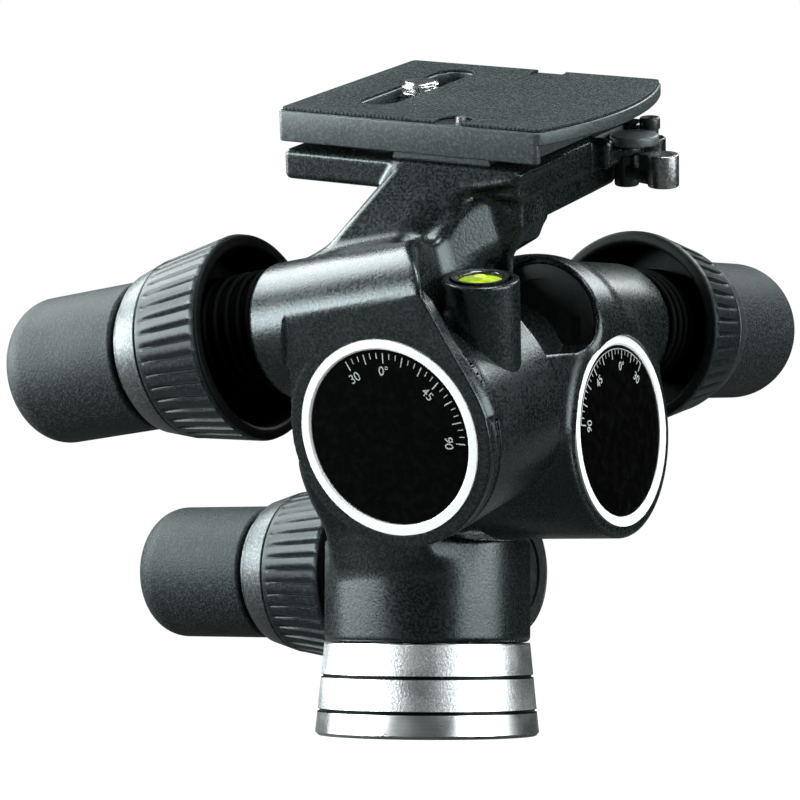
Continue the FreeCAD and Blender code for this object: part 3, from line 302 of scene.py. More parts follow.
# ------------------------------------------------------------------ turned and drawn pieces
def soften(profile):
    """Corners given as (radius, station, rounding) become arcs."""
    done = []
    count = len(profile)
    for i, corner in enumerate(profile):
        here = np.array(corner[:2], float)
        rounding = corner[2] if len(corner) > 2 else 0
        if not rounding or i in (0, count - 1):
            done.append(tuple(here))
            continue
        back = np.array(profile[i - 1][:2], float) - here
        ahead = np.array(profile[i + 1][:2], float) - here
        back, ahead = back / np.linalg.norm(back), ahead / np.linalg.norm(ahead)
        half = math.acos(float(np.clip(back @ ahead, -1, 1))) / 2
        centre = here + (back + ahead) / np.linalg.norm(back + ahead) * rounding / math.sin(half)
        start = here + back * rounding / math.tan(half) - centre
        sweep = math.pi - 2 * half
        if start[0] * ahead[1] - start[1] * ahead[0] < 0:
            sweep = -sweep
        steps = max(3, int(abs(sweep) * math.sqrt(rounding) * 4))
        for step in range(steps + 1):
            a = sweep * step / steps
            done.append((centre[0] + start[0] * math.cos(a) - start[1] * math.sin(a),
                         centre[1] + start[0] * math.sin(a) + start[1] * math.cos(a)))
    return done


def lathe(name, profile, place, angles=None, shape=None, loop=True):
    """A turned piece. shape(angles, station, radius) gives the radii of one ring."""
    angles = np.linspace(0, 2 * math.pi, 180, endpoint=False) if angles is None else angles
    count = len(angles)
    points, rings = [], []
    for radius, station in profile:
        if radius < 1e-6:
            rings.append([len(points)])
            points.append((0.0, 0.0, station))
            continue
        radii = np.full(count, radius) if shape is None else shape(angles, station, radius)
        rings.append(list(range(len(points), len(points) + count)))
        points += list(zip(radii * np.cos(angles), radii * np.sin(angles), [station] * count))
    faces = []
    for lower, upper in zip(rings, rings[1:] + (rings[:1] if loop else [])):
        for i in range(count):
            j = (i + 1) % count
            if len(lower) == 1 and len(upper) == 1:
                break
            if len(lower) == 1:
                faces.append((lower[0], upper[j], upper[i]))
            elif len(upper) == 1:
                faces.append((lower[i], lower[j], upper[0]))
            else:
                faces.append((lower[i], lower[j], upper[j], upper[i]))
    return solid(name, points, faces, place)


def solid(name, points, faces, place, sharp=38):
    """A mesh from points in millimetres in a frame, with its normals outwards."""
    mesh = bpy.data.meshes.new(name)
    mesh.from_pydata((place.out(points) * MM).tolist(), [], faces)
    shell = bmesh.new()
    shell.from_mesh(mesh)
    bmesh.ops.recalc_face_normals(shell, faces=shell.faces)
    shell.to_mesh(mesh)
    shell.free()
    shade(mesh, sharp)
    return link(bpy.data.objects.new(name, mesh))


def shade(mesh, sharp=38):
    mesh.polygons.foreach_set("use_smooth", [True] * len(mesh.polygons))
    mesh.set_sharp_from_angle(angle=math.radians(sharp))


def pushed(name, outline, low, high, place, bevel=0.0, segments=3, holes=()):
    """A flat outline pushed up between two heights, with bevelled edges and through holes."""
    curve = bpy.data.curves.new(name, "CURVE")
    curve.dimensions = "2D"
    curve.fill_mode = "BOTH"
    for loop in [outline, *holes]:
        spline = curve.splines.new("POLY")
        spline.points.add(len(loop) - 1)
        for spot, (x, y) in zip(spline.points, loop):
            spot.co = (x * MM, y * MM, 0, 1)
        spline.use_cyclic_u = True
    curve.extrude = ((high - low) / 2 - bevel) * MM
    curve.bevel_depth = bevel * MM
    curve.bevel_resolution = segments
    curve.offset = -bevel * MM
    drawn = link(bpy.data.objects.new(name + "_curve", curve))
    mesh = bpy.data.meshes.new_from_object(drawn.evaluated_get(
        bpy.context.evaluated_depsgraph_get()))
    bpy.data.objects.remove(drawn)
    mesh.name = name
    mesh.transform(place.matrix() @ Matrix.Translation((0, 0, (low + high) / 2 * MM)))
    weld(mesh)
    shade(mesh)
    return link(bpy.data.objects.new(name, mesh))


def weld(mesh):
    shell = bmesh.new()
    shell.from_mesh(mesh)
    bmesh.ops.remove_doubles(shell, verts=shell.verts, dist=1e-7)
    bmesh.ops.recalc_face_normals(shell, faces=shell.faces)
    shell.to_mesh(mesh)
    shell.free()


def circle(x, y, radius, count=48, start=0.0, end=360.0):
    whole = abs(end - start) >= 360
    steps = count if whole else count + 1
    turns = [math.radians(start + (end - start) * i / count) for i in range(steps)]
    return [(x + radius * math.cos(a), y + radius * math.sin(a)) for a in turns]


def join(name, things):
    """Several meshes as one piece, each keeping its material."""
    shell = bmesh.new()
    mesh = bpy.data.meshes.new(name)
    for number, thing in enumerate(things):
        first = len(shell.faces)
        shell.from_mesh(thing.data)
        shell.faces.ensure_lookup_table()
        for face in shell.faces[first:]:
            face.material_index = number
        mesh.materials.append(thing.data.materials[0])
        bpy.data.objects.remove(thing)
    shell.to_mesh(mesh)
    shell.free()
    return link(bpy.data.objects.new(name, mesh))


def settle(piece, body, material=None, stands_for=()):
    """Give a piece its finish, put it on its body, and hide what it stands for."""
    if material is not None:
        piece.data.materials.clear()
        piece.data.materials.append(material)
    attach(piece, body)
    if stands_for:
        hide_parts(*stands_for)
    return piece


# ------------------------------------------------------------------ shader groups
def socket(group, name, in_out, kind, value=None):
    made = group.interface.new_socket(name=name, in_out=in_out, socket_type="NodeSocket" + kind)
    if value is not None:
        made.default_value = value
    return made


def wire(tree, start, end):
    tree.links.new(start, end)


def math_node(tree, operation, a, b=None, clamp=False):
    made = tree.nodes.new("ShaderNodeMath")
    made.operation = operation
    made.use_clamp = clamp
    for number, value in enumerate((a, b)):
        if value is None:
            continue
        if hasattr(value, "is_output"):
            wire(tree, value, made.inputs[number])
        else:
            made.inputs[number].default_value = value
    return made.outputs[0]


def noise(tree, vector, scale, detail=2.0, roughness=0.5):
    made = tree.nodes.new("ShaderNodeTexNoise")
    wire(tree, vector, made.inputs["Vector"])
    for name, value in (("Scale", scale), ("Detail", detail), ("Roughness", roughness)):
        if hasattr(value, "is_output"):
            wire(tree, value, made.inputs[name])
        else:
            made.inputs[name].default_value = value
    return made.outputs["Fac"]


def mix_colour(tree, fac, a, b):
    made = tree.nodes.new("ShaderNodeMix")
    made.data_type = "RGBA"
    for number, value in ((0, fac), (6, a), (7, b)):
        if hasattr(value, "is_output"):
            wire(tree, value, made.inputs[number])
        else:
            made.inputs[number].default_value = value
    return made.outputs[2]


def span(tree, value, low, high, to_low, to_high):
    made = tree.nodes.new("ShaderNodeMapRange")
    wire(tree, value, made.inputs["Value"])
    for name, number in (("From Min", low), ("From Max", high), ("To Min", to_low),
                         ("To Max", to_high)):
        if hasattr(number, "is_output"):
            wire(tree, number, made.inputs[name])
        else:
            made.inputs[name].default_value = number
    return made.outputs["Result"]


def new_group(name):
    group = bpy.data.node_groups.new(name, "ShaderNodeTree")
    return group, group.nodes.new("NodeGroupInput"), group.nodes.new("NodeGroupOutput")


def speckle_group():
    """Fine grain in a coat or a moulding: tone, roughness and height that vary over it."""
    group, entry, result = new_group("speckle")
    socket(group, "Colour", "INPUT", "Color", (0.1, 0.1, 0.1, 1))
    socket(group, "Fleck", "INPUT", "Color", (0.2, 0.2, 0.2, 1))
    socket(group, "Grain size", "INPUT", "Float", 1500.0)
    socket(group, "Fleck share", "INPUT", "Float", 0.5)
    socket(group, "Roughness", "INPUT", "Float", 0.5)
    socket(group, "Colour", "OUTPUT", "Color")
    socket(group, "Roughness", "OUTPUT", "Float")
    socket(group, "Height", "OUTPUT", "Float")
    where = group.nodes.new("ShaderNodeTexCoord").outputs["Object"]
    fine = noise(group, where, entry.outputs["Grain size"], 2.0, 0.6)
    broad = noise(group, where, 60.0, 3.0)
    fleck = span(group, fine, 0.45, 0.66, 0.0, 1.0)
    share = math_node(group, "MULTIPLY", fleck, entry.outputs["Fleck share"], True)
    colour = mix_colour(group, share, entry.outputs["Colour"], entry.outputs["Fleck"])
    wire(group, colour, result.inputs["Colour"])
    drift = math_node(group, "ADD", span(group, broad, 0.3, 0.7, -0.04, 0.04),
                      span(group, fine, 0.35, 0.65, -0.05, 0.05))
    wire(group, math_node(group, "ADD", entry.outputs["Roughness"], drift, True),
         result.inputs["Roughness"])
    wire(group, fine, result.inputs["Height"])
    return group


def turned_group():
    """Fine rings left by a lathe round the Z axis, for bright metal."""
    group, entry, result = new_group("turned")
    socket(group, "Colour", "INPUT", "Color", (0.7, 0.7, 0.7, 1))
    socket(group, "Roughness", "INPUT", "Float", 0.3)
    socket(group, "Line spacing", "INPUT", "Float", 2500.0)
    socket(group, "Colour", "OUTPUT", "Color")
    socket(group, "Roughness", "OUTPUT", "Float")
    socket(group, "Height", "OUTPUT", "Float")
    where = group.nodes.new("ShaderNodeTexCoord").outputs["Object"]
    stretch = group.nodes.new("ShaderNodeVectorMath")
    stretch.operation = "MULTIPLY"
    wire(group, where, stretch.inputs[0])
    stretch.inputs[1].default_value = (0.04, 0.04, 1.0)
    lines = noise(group, stretch.outputs[0], entry.outputs["Line spacing"], 2.0)
    smudge = noise(group, where, 90.0, 3.0)
    dark = mix_colour(group, 0.35, entry.outputs["Colour"], (0.05, 0.05, 0.05, 1))
    wire(group, mix_colour(group, span(group, lines, 0.35, 0.75, 0.0, 0.5),
                           entry.outputs["Colour"], dark), result.inputs["Colour"])
    drift = span(group, smudge, 0.3, 0.7, -0.06, 0.08)
    wire(group, math_node(group, "ADD", entry.outputs["Roughness"], drift, True),
         result.inputs["Roughness"])
    wire(group, lines, result.inputs["Height"])
    return group


GROUPS = {}


def shared(name):
    if name not in GROUPS:
        GROUPS[name] = {"speckle": speckle_group, "turned": turned_group}[name]()
    return GROUPS[name]


def blank(name, metallic=0.0, coat=0.0, coat_roughness=0.1, specular=0.5):
    material = bpy.data.materials.new(name)
    material.use_nodes = True
    shader = material.node_tree.nodes["Principled BSDF"]
    shader.inputs["Metallic"].default_value = metallic
    shader.inputs["Coat Weight"].default_value = coat
    shader.inputs["Coat Roughness"].default_value = coat_roughness
    shader.inputs["Specular IOR Level"].default_value = specular
    if not metallic:
        shader.inputs["Specular Tint"].default_value = (0.86, 0.98, 1.0, 1)
    return material, material.node_tree, shader


def bump(tree, shader, height, strength, distance):
    made = tree.nodes.new("ShaderNodeBump")
    made.inputs["Strength"].default_value = strength
    made.inputs["Distance"].default_value = distance * MM
    wire(tree, height, made.inputs["Height"])
    wire(tree, made.outputs["Normal"], shader.inputs["Normal"])
    return made


def place_group(tree, name, values):
    made = tree.nodes.new("ShaderNodeGroup")
    made.node_tree = shared(name)
    for key, value in values.items():
        made.inputs[key].default_value = value
    return made


def grained(name, colour, fleck, grain, roughness, share=0.5, strength=0.25, depth=0.08, **more):
    """Painted, moulded or rubber finish with a fine grain."""
    material, tree, shader = blank(name, **more)
    made = place_group(tree, "speckle", {"Colour": colour, "Fleck": fleck, "Grain size": grain,
                                         "Fleck share": share, "Roughness": roughness})
    wire(tree, made.outputs["Colour"], shader.inputs["Base Color"])
    wire(tree, made.outputs["Roughness"], shader.inputs["Roughness"])
    bump(tree, shader, made.outputs["Height"], strength, depth)
    return material


def machined(name, colour, roughness, spacing=2500.0, strength=0.15, depth=0.02):
    """Bright metal with the fine rings of turning."""
    material, tree, shader = blank(name, metallic=1.0)
    made = place_group(tree, "turned", {"Colour": colour, "Roughness": roughness,
                                        "Line spacing": spacing})
    wire(tree, made.outputs["Colour"], shader.inputs["Base Color"])
    wire(tree, made.outputs["Roughness"], shader.inputs["Roughness"])
    bump(tree, shader, made.outputs["Height"], strength, depth)
    return material


def foot_metal(colour, roughness):
    """Bright foot: the two upper bands are blasted, the lowest is turned smooth."""
    material, tree, shader = blank("foot_metal", metallic=1.0)
    made = place_group(tree, "turned", {"Colour": colour, "Roughness": roughness,
                                        "Line spacing": 1800.0})
    where = tree.nodes.new("ShaderNodeTexCoord").outputs["Object"]
    split = tree.nodes.new("ShaderNodeSeparateXYZ")
    wire(tree, where, split.inputs[0])
    z = split.outputs["Z"]
    upper = math_node(tree, "GREATER_THAN", z, 6.9 * MM)
    rim = math_node(tree, "LESS_THAN", z, 24.2 * MM)
    band = math_node(tree, "MULTIPLY", upper, rim)
    grit = noise(tree, where, 1900.0, 2.0, 0.6)
    blast = math_node(tree, "MULTIPLY", grit, band)
    # painted shade: a thin band round each of the two grooves is painted near black, standing for the
    # shade inside the groove
    hollow = 0.0
    for level in (6.7, 15.8):
        away = math_node(tree, "ABSOLUTE", math_node(tree, "SUBTRACT", z, level * MM))
        hollow = math_node(tree, "ADD", math_node(tree, "LESS_THAN", away, 0.5 * MM), hollow)
    tone = math_node(tree, "MULTIPLY", span(tree, grit, 0.4, 0.6, 0.45, 0.0), band)
    pitted = mix_colour(tree, tone, made.outputs["Colour"], (0.2, 0.23, 0.235, 1))
    wire(tree, mix_colour(tree, hollow, pitted, (0.01, 0.012, 0.012, 1)),
         shader.inputs["Base Color"])
    rough = math_node(tree, "ADD", made.outputs["Roughness"],
                      math_node(tree, "MULTIPLY", band, 0.1))
    wire(tree, rough, shader.inputs["Roughness"])
    bump(tree, shader, blast, 0.8, 0.14)
    return material


def ribbed_rubber(name, colour, pitch, frame_axis):
    """Rubber sheet with fine ribs across it."""
    material, tree, shader = blank(name, specular=0.14)
    made = place_group(tree, "speckle", {"Colour": colour, "Fleck": (0.07, 0.088, 0.09, 1),
                                         "Grain size": 1500.0, "Fleck share": 0.45,
                                         "Roughness": 0.6})
    where = tree.nodes.new("ShaderNodeTexCoord").outputs["Object"]
    dot = tree.nodes.new("ShaderNodeVectorMath")
    dot.operation = "DOT_PRODUCT"
    wire(tree, where, dot.inputs[0])
    dot.inputs[1].default_value = tuple(frame_axis)
    wave = math_node(tree, "SINE", math_node(tree, "MULTIPLY", dot.outputs["Value"],
                                             2 * math.pi / (pitch * MM)))
    height = math_node(tree, "ADD", math_node(tree, "MULTIPLY", wave, 0.7), made.outputs["Height"])
    wire(tree, made.outputs["Colour"], shader.inputs["Base Color"])
    wire(tree, made.outputs["Roughness"], shader.inputs["Roughness"])
    bump(tree, shader, height, 0.4, 0.12)
    return material


# ------------------------------------------------------------------ what a user may change
def colour_prop(name, description, default):
    return bpy.props.FloatVectorProperty(name=name, description=description, subtype="COLOR",
                                         size=4, min=0.0, max=1.0, default=default)


class HeadColours(bpy.types.PropertyGroup):
    paint: colour_prop("Casting paint", "Colour of the painted castings", (0.002, 0.0028, 0.003, 1))
    paint_fleck: colour_prop("Paint fleck", "Colour of the fine flecks in the paint",
                             (0.018, 0.024, 0.025, 1))
    collar: colour_prop("Release collar", "Colour of the ribbed collars", (0.004, 0.0055, 0.006, 1))
    grip: colour_prop("Knob grip", "Colour of the soft grips", (0.003, 0.004, 0.0042, 1))
    bright: colour_prop("Bright metal", "Colour of the foot and the bright rings",
                        (0.83, 0.84, 0.85, 1))
    dial: colour_prop("Dial face", "Colour of the dial discs", (0.001, 0.001, 0.001, 1))
    bezel: colour_prop("Dial ring", "Colour of the rings round the dials", (0.86, 0.87, 0.87, 1))
    plate: colour_prop("Camera plate", "Colour of the quick release plate", (0.02, 0.026, 0.027, 1))
    pad: colour_prop("Plate pad", "Colour of the rubber pad", (0.006, 0.008, 0.0085, 1))
    liquid: colour_prop("Level liquid", "Colour of the spirit level", (0.3, 0.42, 0.015, 1))


class HeadSizes(bpy.types.PropertyGroup):
    mesh_step: bpy.props.FloatProperty(name="Casting mesh step", unit="LENGTH", default=0.00055,
                                       description="Grid step of the castings' meshes")
    rib_count: bpy.props.IntProperty(name="Collar ribs", default=42, min=8,
                                     description="Ribs round each release collar")
    rib_depth: bpy.props.FloatProperty(name="Rib depth", unit="LENGTH", default=0.0010,
                                       description="Depth of the grooves between the ribs")
    fillet: bpy.props.FloatProperty(name="Casting fillet", unit="LENGTH", default=0.006,
                                    description="Fillet where walls of a casting meet")


# ------------------------------------------------------------------ castings
NECK = [(-25.5, 46), (-40.9, 72.65), (-20.3, 78.65), (-0.8, 87.65), (17, 57), (21.5, 52),
        (21.5, 46)]
ARM_FRONT = [(-27, 22), (-29, 37.5), (-15.5, 58.6), (20, 58.6), (17, 55.5), (6, 53), (-4, 41),
             (1, 30), (2, 22)]
ARM_SLOPE = [(-50, 22), (-50, 37), (-33, 58.6), (-10, 58.6), (-10, 52), (-36, 30), (-36, 22)]
RIB_FRONT = [(-12, 12), (-12, 40), (-6, 58.6), (17, 58.6), (17, 44), (14, 37), (14.5, 16),
             (8, 12)]
RIB_SIDE = [(-31, 12), (-31, 50), (-28, 58.6), (24, 58.6), (24, 47), (19, 44.4), (-24, 43.6),
            (-28, 38), (-29, 31), (-32, 28), (-32, 12)]
NECK_FACE = [(-3, 20), (-6, 30), (-6, 38), (-4, 43), (2.5, 50.5), (9, 55.7), (13.5, 56),
             (17, 53.8), (18.4, 50), (18.2, 45), (16, 39.5), (9, 35), (7, 20)]
NECK_SIDE = [(-61, 20), (-60, 26), (-46.5, 44), (-40, 56), (-37.5, 57.5), (-18, 57.5), (-18, 20)]
NECK_WALL = ((8.7, -37.0, 39.6), (0.751, -0.621, 0.22))
FLANGE_EDGE = [(26.1, 8.4), (24.4, 12.1), (21.1, 17.7), (17.7, 22.9), (13.9, 28.9), (10.9, 33.7),
               (8.5, 36), (-10, 30), (-27.3, 20), (-27.3, 0), (20, 0)]
CHANNEL = [(11, -39, 57.8, 1.2), (4.6, -40.7, 54.2, 2.2), (0.7, -43, 50.5, 2.8),
           (-2.3, -45.8, 46.2, 3.1), (-3.4, -48, 43.6, 2.0)]


# radii that the castings share, in millimetres
DRUM_RADIUS = 27.0
BOSS_RADIUS = 16.8
SLEEVE_BORE = 13.25
CAP_RADIUS = 15.6
CHAMBER_RADIUS = 22.0
BUSH_RADIUS = 10.0
DIAL_SEAT_RADIUS = 24.05
FLANGE_RADIUS = 16.0
SPIGOT_RADIUS = 9.0
CHAMBER_WALL = 4.8
DOVETAIL = [(-20.3, 55.3), (-18.15, 59.6), (9.05, 59.6), (11.2, 55.3)]
LEVER_AT = Place((21.5, 17, 0))
CATCH_AT = Place((23.0, 27.3, 0))
PILLAR_AT = Place((14.5, -47, 0))


def chamber(p, body, drive):
    """The hollow of a wheel, the bush in its wall and the seat of its dial ring."""
    body = carve(body, rod(p, drive.axis, BUSH_RADIUS, -1, CHAMBER_WALL + 0.5))
    body = carve(body, rod(p, drive.axis, CHAMBER_RADIUS, CHAMBER_WALL, 34.0))
    return carve(body, rod(p, drive.axis, DIAL_SEAT_RADIUS, 33.4, 38.0))


def sockets(p, body, axis):
    """The seat of a spindle flange and of its spigot."""
    body = carve(body, rod(p, axis, FLANGE_RADIUS, -5.0, 1.0))
    return carve(body, rod(p, axis, SPIGOT_RADIUS, -9.5, -4.5))


def worm_boss(p, drive):
    return rod(p, drive.worm, BOSS_RADIUS, -12.6, 27.0, 0.8)


def worm_bore(p, body, drive):
    """The bore of a release sleeve, and the recess of the cap on its inner end."""
    body = carve(body, rod(p, drive.sleeve, SLEEVE_BORE, -13.0, 28.0))
    return carve(body, rod(p, drive.worm, CAP_RADIUS, -13.0, -11.4))


def lower_field(fillet):
    """Column, arm of the front axis and worm boss of the pan."""
    neck = rounded_outline(NECK, 4.0)

    def field(p):
        body = merge(rod(p, LEVEL, 27.5, 24.8, 52.0, 1.4), sheet(p, "X", neck, -14, 16.5, 2.0),
                     fillet)
        body = merge(body, rod(p, FRONT_AXIS_LEVEL, 21.5, -47.3, 0, 1.3), fillet)
        body = merge(body, worm_boss(p, PAN), fillet)
        body = carve(body, rod(p, FRONT_AXIS_LEVEL, 40.0, 0.0, 60.0), 0.3)
        body = np.maximum(body, 24.8 - p[:, 2])
        body = carve(body, rod(p, LEVEL, CHAMBER_RADIUS, 20.0, 49.0))
        body = carve(body, rod(p, LEVEL, BUSH_RADIUS, 48.0, 53.6))
        body = worm_bore(p, body, PAN)
        return sockets(p, body, FRONT_AXIS_LEVEL)
    return field


def middle_field(fillet):
    """Front drum, its worm boss and the boss of the side axis."""
    def field(p):
        side_boss = rod(p, SIDE_AXIS_MIDDLE, DRUM_RADIUS, -37.4, 0, 1.2)
        sweep = rod(p, FRONT.axis, 22.4, -40, 0.3)
        side_boss = meet(carve(side_boss, sweep, 1.0), p[:, 0] - 69.1, 1.5)
        body = merge(rod(p, FRONT.axis, DRUM_RADIUS, 0.3, 35.8, 1.1), side_boss, 3.0)
        body = merge(body, worm_boss(p, FRONT), fillet)
        scoop = meet(rod(p, FRONT.worm, 16.2, -60, -12.6), -rod(p, SIDE_AXIS_MIDDLE, 17.6, -50, 5),
                     1.0)
        scoop = meet(scoop, -rod(p, FRONT.axis, 25.5, -0.3, 40), 1.0)
        body = carve(body, scoop, 2.4)
        body = carve(body, sweep, 0.4)
        body = carve(body, rod(p, SIDE_AXIS_MIDDLE, 40.0, 0.0, 60.0), 0.3)
        body = worm_bore(p, body, FRONT)
        body = chamber(p, body, FRONT)
        return sockets(p, body, SIDE_AXIS_MIDDLE)
    return field


def top_field(fillet):
    """Side drum, its worm boss, the arm and neck, and the camera platform."""
    arm_front, arm_slope = rounded_outline(ARM_FRONT, 2.5), rounded_outline(ARM_SLOPE, 2.5)
    rib_front, rib_side = rounded_outline(RIB_FRONT, 3.0), rounded_outline(RIB_SIDE, 1.5)
    neck_face = rounded_outline(NECK_FACE, 2.0)
    neck_side = rounded_outline(NECK_SIDE, 3.0)

    def field(p):
        drum = rod(p, SIDE.axis, DRUM_RADIUS, 0.3, 33.0, 0.9)
        neck = meet(sheet(p, "Y", neck_face, -66, -18), sheet(p, "X", neck_side, -30, 30), 3.0)
        wall_at, wall_way = NECK_WALL
        wall = (p - np.array(wall_at, np.float32)) @ np.array(wall_way, np.float32)
        neck = meet(neck, wall, 5.0)
        rib = meet(sheet(p, "Y", rib_front, -60, 40), sheet(p, "X", rib_side, -60, 60), 2.0)
        back = merge(merge(rib, neck, 2.0), drum, 5.0)
        arm = meet(sheet(p, "Y", arm_front, -60, 0), sheet(p, "X", arm_slope, -60, 60), 2.5)
        boss = rod(p, SIDE.worm, BOSS_RADIUS, -22.0, 31.4, 1.6)
        boss_end = (p[:, 0] - 10.9 + 0.85 * (p[:, 1] + 67.2)) / 1.312
        boss_end = merge(boss_end, -12.6 - SIDE.worm.local(p)[:, 2], 2.0)
        boss = meet(boss, boss_end, 2.5)
        flange = sheet(p, "Y", FLANGE_EDGE, -67.2, -62.6, 0.5)
        front = merge(merge(boss, flange, 0.8), merge(arm, drum, 3.0), fillet * 0.6)
        body = merge(front, back, 2.0)
        slab = brick(p, (-48.3, -33, 51), (17.3, 33.5, 58.6), 1.5)
        slab = np.minimum(slab, brick(p, (8, 6, 51), (22, 33.5, 58.6), 1.5))
        body = merge(body, slab, 2.0)
        channel = meet(groove(p, CHANNEL), -rod(p, SIDE.sleeve, 15.0, -11.4, 34.0), 1.0)
        body = carve(body, channel, 4.5)
        body = np.minimum(body, rod(p, LEVER_AT, 4.4, 53.2, 55.3, 0.3))
        body = np.minimum(body, rod(p, CATCH_AT, 4.0, 51.0, 55.3, 0.3))
        edge = outline_distance(p[:, 0], p[:, 2], FLANGE_EDGE)
        edge = np.minimum(edge, np.hypot(p[:, 0], p[:, 2]) - 27.3)
        seam = box_distance(np.abs(edge + 0.1) - 0.35, np.abs(p[:, 1] + 62.9) - 0.55)
        seam = np.maximum(seam, np.minimum(6.5 - p[:, 0], p[:, 2] - 5.0))
        body = carve(body, seam, 0.3)
        body = merge(body, rod(p, SIDE.axis, 27.3, 31.3, 36.4, 0.3), 0.4)
        body = carve(body, brick(p, (-28.0, -80, -40), (40, -67.2, 60)), 0.5)
        body = np.minimum(body, rod(p, PILLAR_AT, 7.0, 14.0, 32.0))
        body = carve(body, rod(p, SIDE.axis, 27.6, -40.0, 0.3), 0.3)
        body = carve(body, rod(p, SIDE.sleeve, SLEEVE_BORE, -9.6, 33.0))
        body = chamber(p, body, SIDE)
        body = carve(body, sheet(p, "Y", DOVETAIL, -30.5, 40))
        body = carve(body, brick(p, (8.0, 8.7, 55.3), (17.6, 25.3, 60.0)))
        body = carve(body, rod(p, LEVER_AT, 8.6, 55.3, 60.0))
        body = carve(body, rod(p, LEVER_AT, 2.55, 44.0, 57.0))
        body = carve(body, rod(p, LEVER_AT, 3.5, 40.0, 53.2))
        body = carve(body, rod(p, CATCH_AT, 2.26, 46.0, 60.0))
        body = carve(body, rod(p, CATCH_AT, 3.0, 55.3, 60.0))
        return carve(body, rod(p, PILLAR_AT, 7.4, 29.7, 37.0))
    return field


def pillar_field(p):
    pillar = carve(rod(p, PILLAR_AT, 9.3, 8.0, 35.7, 0.8), rod(p, SIDE.axis, 22.6, -5, 40))
    return carve(pillar, rod(p, PILLAR_AT, 7.4, 29.7, 37.0))


def make_castings(sizes, looks):
    """The three castings, the level's pillar and the mark beside the front dial."""
    step = sizes.mesh_step / MM
    fillet = sizes.fillet / MM
    paint = grained("casting_paint", looks.paint, looks.paint_fleck, 1500.0, 0.29, share=0.6,
                    strength=0.5, depth=0.1, specular=0.5)
    plan = (("lower_casting", lower_field, LEVEL, (-30, -46, 22), (38, 48, 104), "pan_body",
             "lower_body"),
            ("middle_casting", middle_field, MIDDLE, (4, -34, -32), (74, 50, 50), "tilt_body",
             "middle_body"),
            ("top_casting", top_field, TOP, (-52, -72, -32), (32, 38, 62), "platform", "top_body"))
    for name, field, carrier, low, high, body, node in plan:
        piece = cast_object(name, field(fillet), carrier, low, high, step)
        settle(piece, body, paint, [node])
    pillar = cast_object("level_pillar", pillar_field, TOP, (3, -58, 6), (26, -36, 38),
                         0.4)
    settle(pillar, "platform", paint, ["top_body"])
    dash = pushed("index_dash", [(-0.45, 24.9), (0.45, 24.9), (0.45, 26.7), (-0.45, 26.7)], 0,
                  0.15, dial_board(FRONT, 35.8), 0.04)
    settle(dash, "tilt_body", print_white())


# ------------------------------------------------------------------ release collars and knobs
def make_collars(sizes, looks):
    """Ribbed bells: narrow grooves, deep and square at the mouth, fading towards the ring."""
    ribs, depth = sizes.rib_count, sizes.rib_depth / MM
    steps = np.array([0.0, 0.05, 0.1, 0.17, 0.25, 0.34, 0.46, 0.62, 0.82])
    fall = np.array([0.0, 0.8, 1.0, 0.92, 0.6, 0.25, 0.04, 0.0, 0.0])
    angles = np.concatenate([(i + steps) for i in range(ribs)]) * 2 * math.pi / ribs
    cuts = np.tile(fall, ribs)
    finish = grained("collar_moulding", looks.collar, (0.03, 0.038, 0.04, 1), 1500.0, 0.38,
                     share=0.5, strength=0.4, depth=0.08, specular=0.22)
    satin = grained("ring_satin", (0.045, 0.052, 0.054, 1), (0.17, 0.185, 0.19, 1), 1500.0, 0.42,
                    share=0.5, strength=0.3, metallic=0.8)
    # painted shade: the lip and the inside of each bell are painted near black with little shine,
    # standing for the shade in the collar's mouth
    inside = grained("collar_inside_painted_shade", (0.001, 0.001, 0.001, 1), (0.006, 0.007, 0.007, 1),
                     1400.0, 0.5, specular=0.12)
    for drive in DRIVES:
        start = drive.reach

        def grooved(_, station, radius, start=start):
            along = station - start
            if radius < 22.7 or along < 1.7 or along > 19.6:
                return np.full(len(angles), radius)
            fade = min(1.0, (19.6 - along) / 9.0)
            return radius - depth * cuts * (0.35 + 0.65 * fade) * min(1.0, (19.6 - along) / 1.5)

        band = [(25.75 - (s - 1.5) * 2.9 / 18.1, start + s) for s in
                (1.65, 1.8, 3, 5, 7, 9, 11, 13, 15, 17, 18.2, 19.0, 19.6)]
        lip = soften([(21.6, start + 14.0), (22.4, start, 1.2), (25.3, start, 0.8),
                      (25.75, start + 1.5)])[1:-1]
        tail = soften([(22.9, start + 19.6), (22.7, start + 20.9, 0.4), (21.9, start + 20.9, 0.2),
                       (21.9, start + 21.3)])[1:]
        profile = ([(13.4, start + 14.0), (21.6, start + 14.0)] + lip + band + tail
                   + [(15.0, start + 21.3), (13.4, start + 21.3)])
        piece = lathe(drive.name + "_collar", profile, drive.world(drive.worm), angles, grooved)
        settle(piece, drive.name + "_release", finish,
               [drive.name + "_release_collar"])
        # every face outside the ribbed band takes the painted shade
        piece.data.materials.append(inside)
        outside = range(1 + len(lip), len(profile) - 3)
        for number, face in enumerate(piece.data.polygons):
            face.material_index = 0 if number // len(angles) in outside else 1
        cone = soften([(13.4, start + 21.35), (22.0, start + 21.35, 0.2),
                       (22.45, start + 21.6, 0.3), (20.4, start + 28.8, 0.8), (18.2, start + 29.6),
                       (18.2, start + 31.0), (13.4, start + 31.0), (13.4, start + 21.4)])[:-1]
        ring = lathe(drive.name + "_ring_turned", cone, drive.world(drive.worm))
        settle(ring, drive.name + "_release", satin, [drive.name + "_collar_ring"])


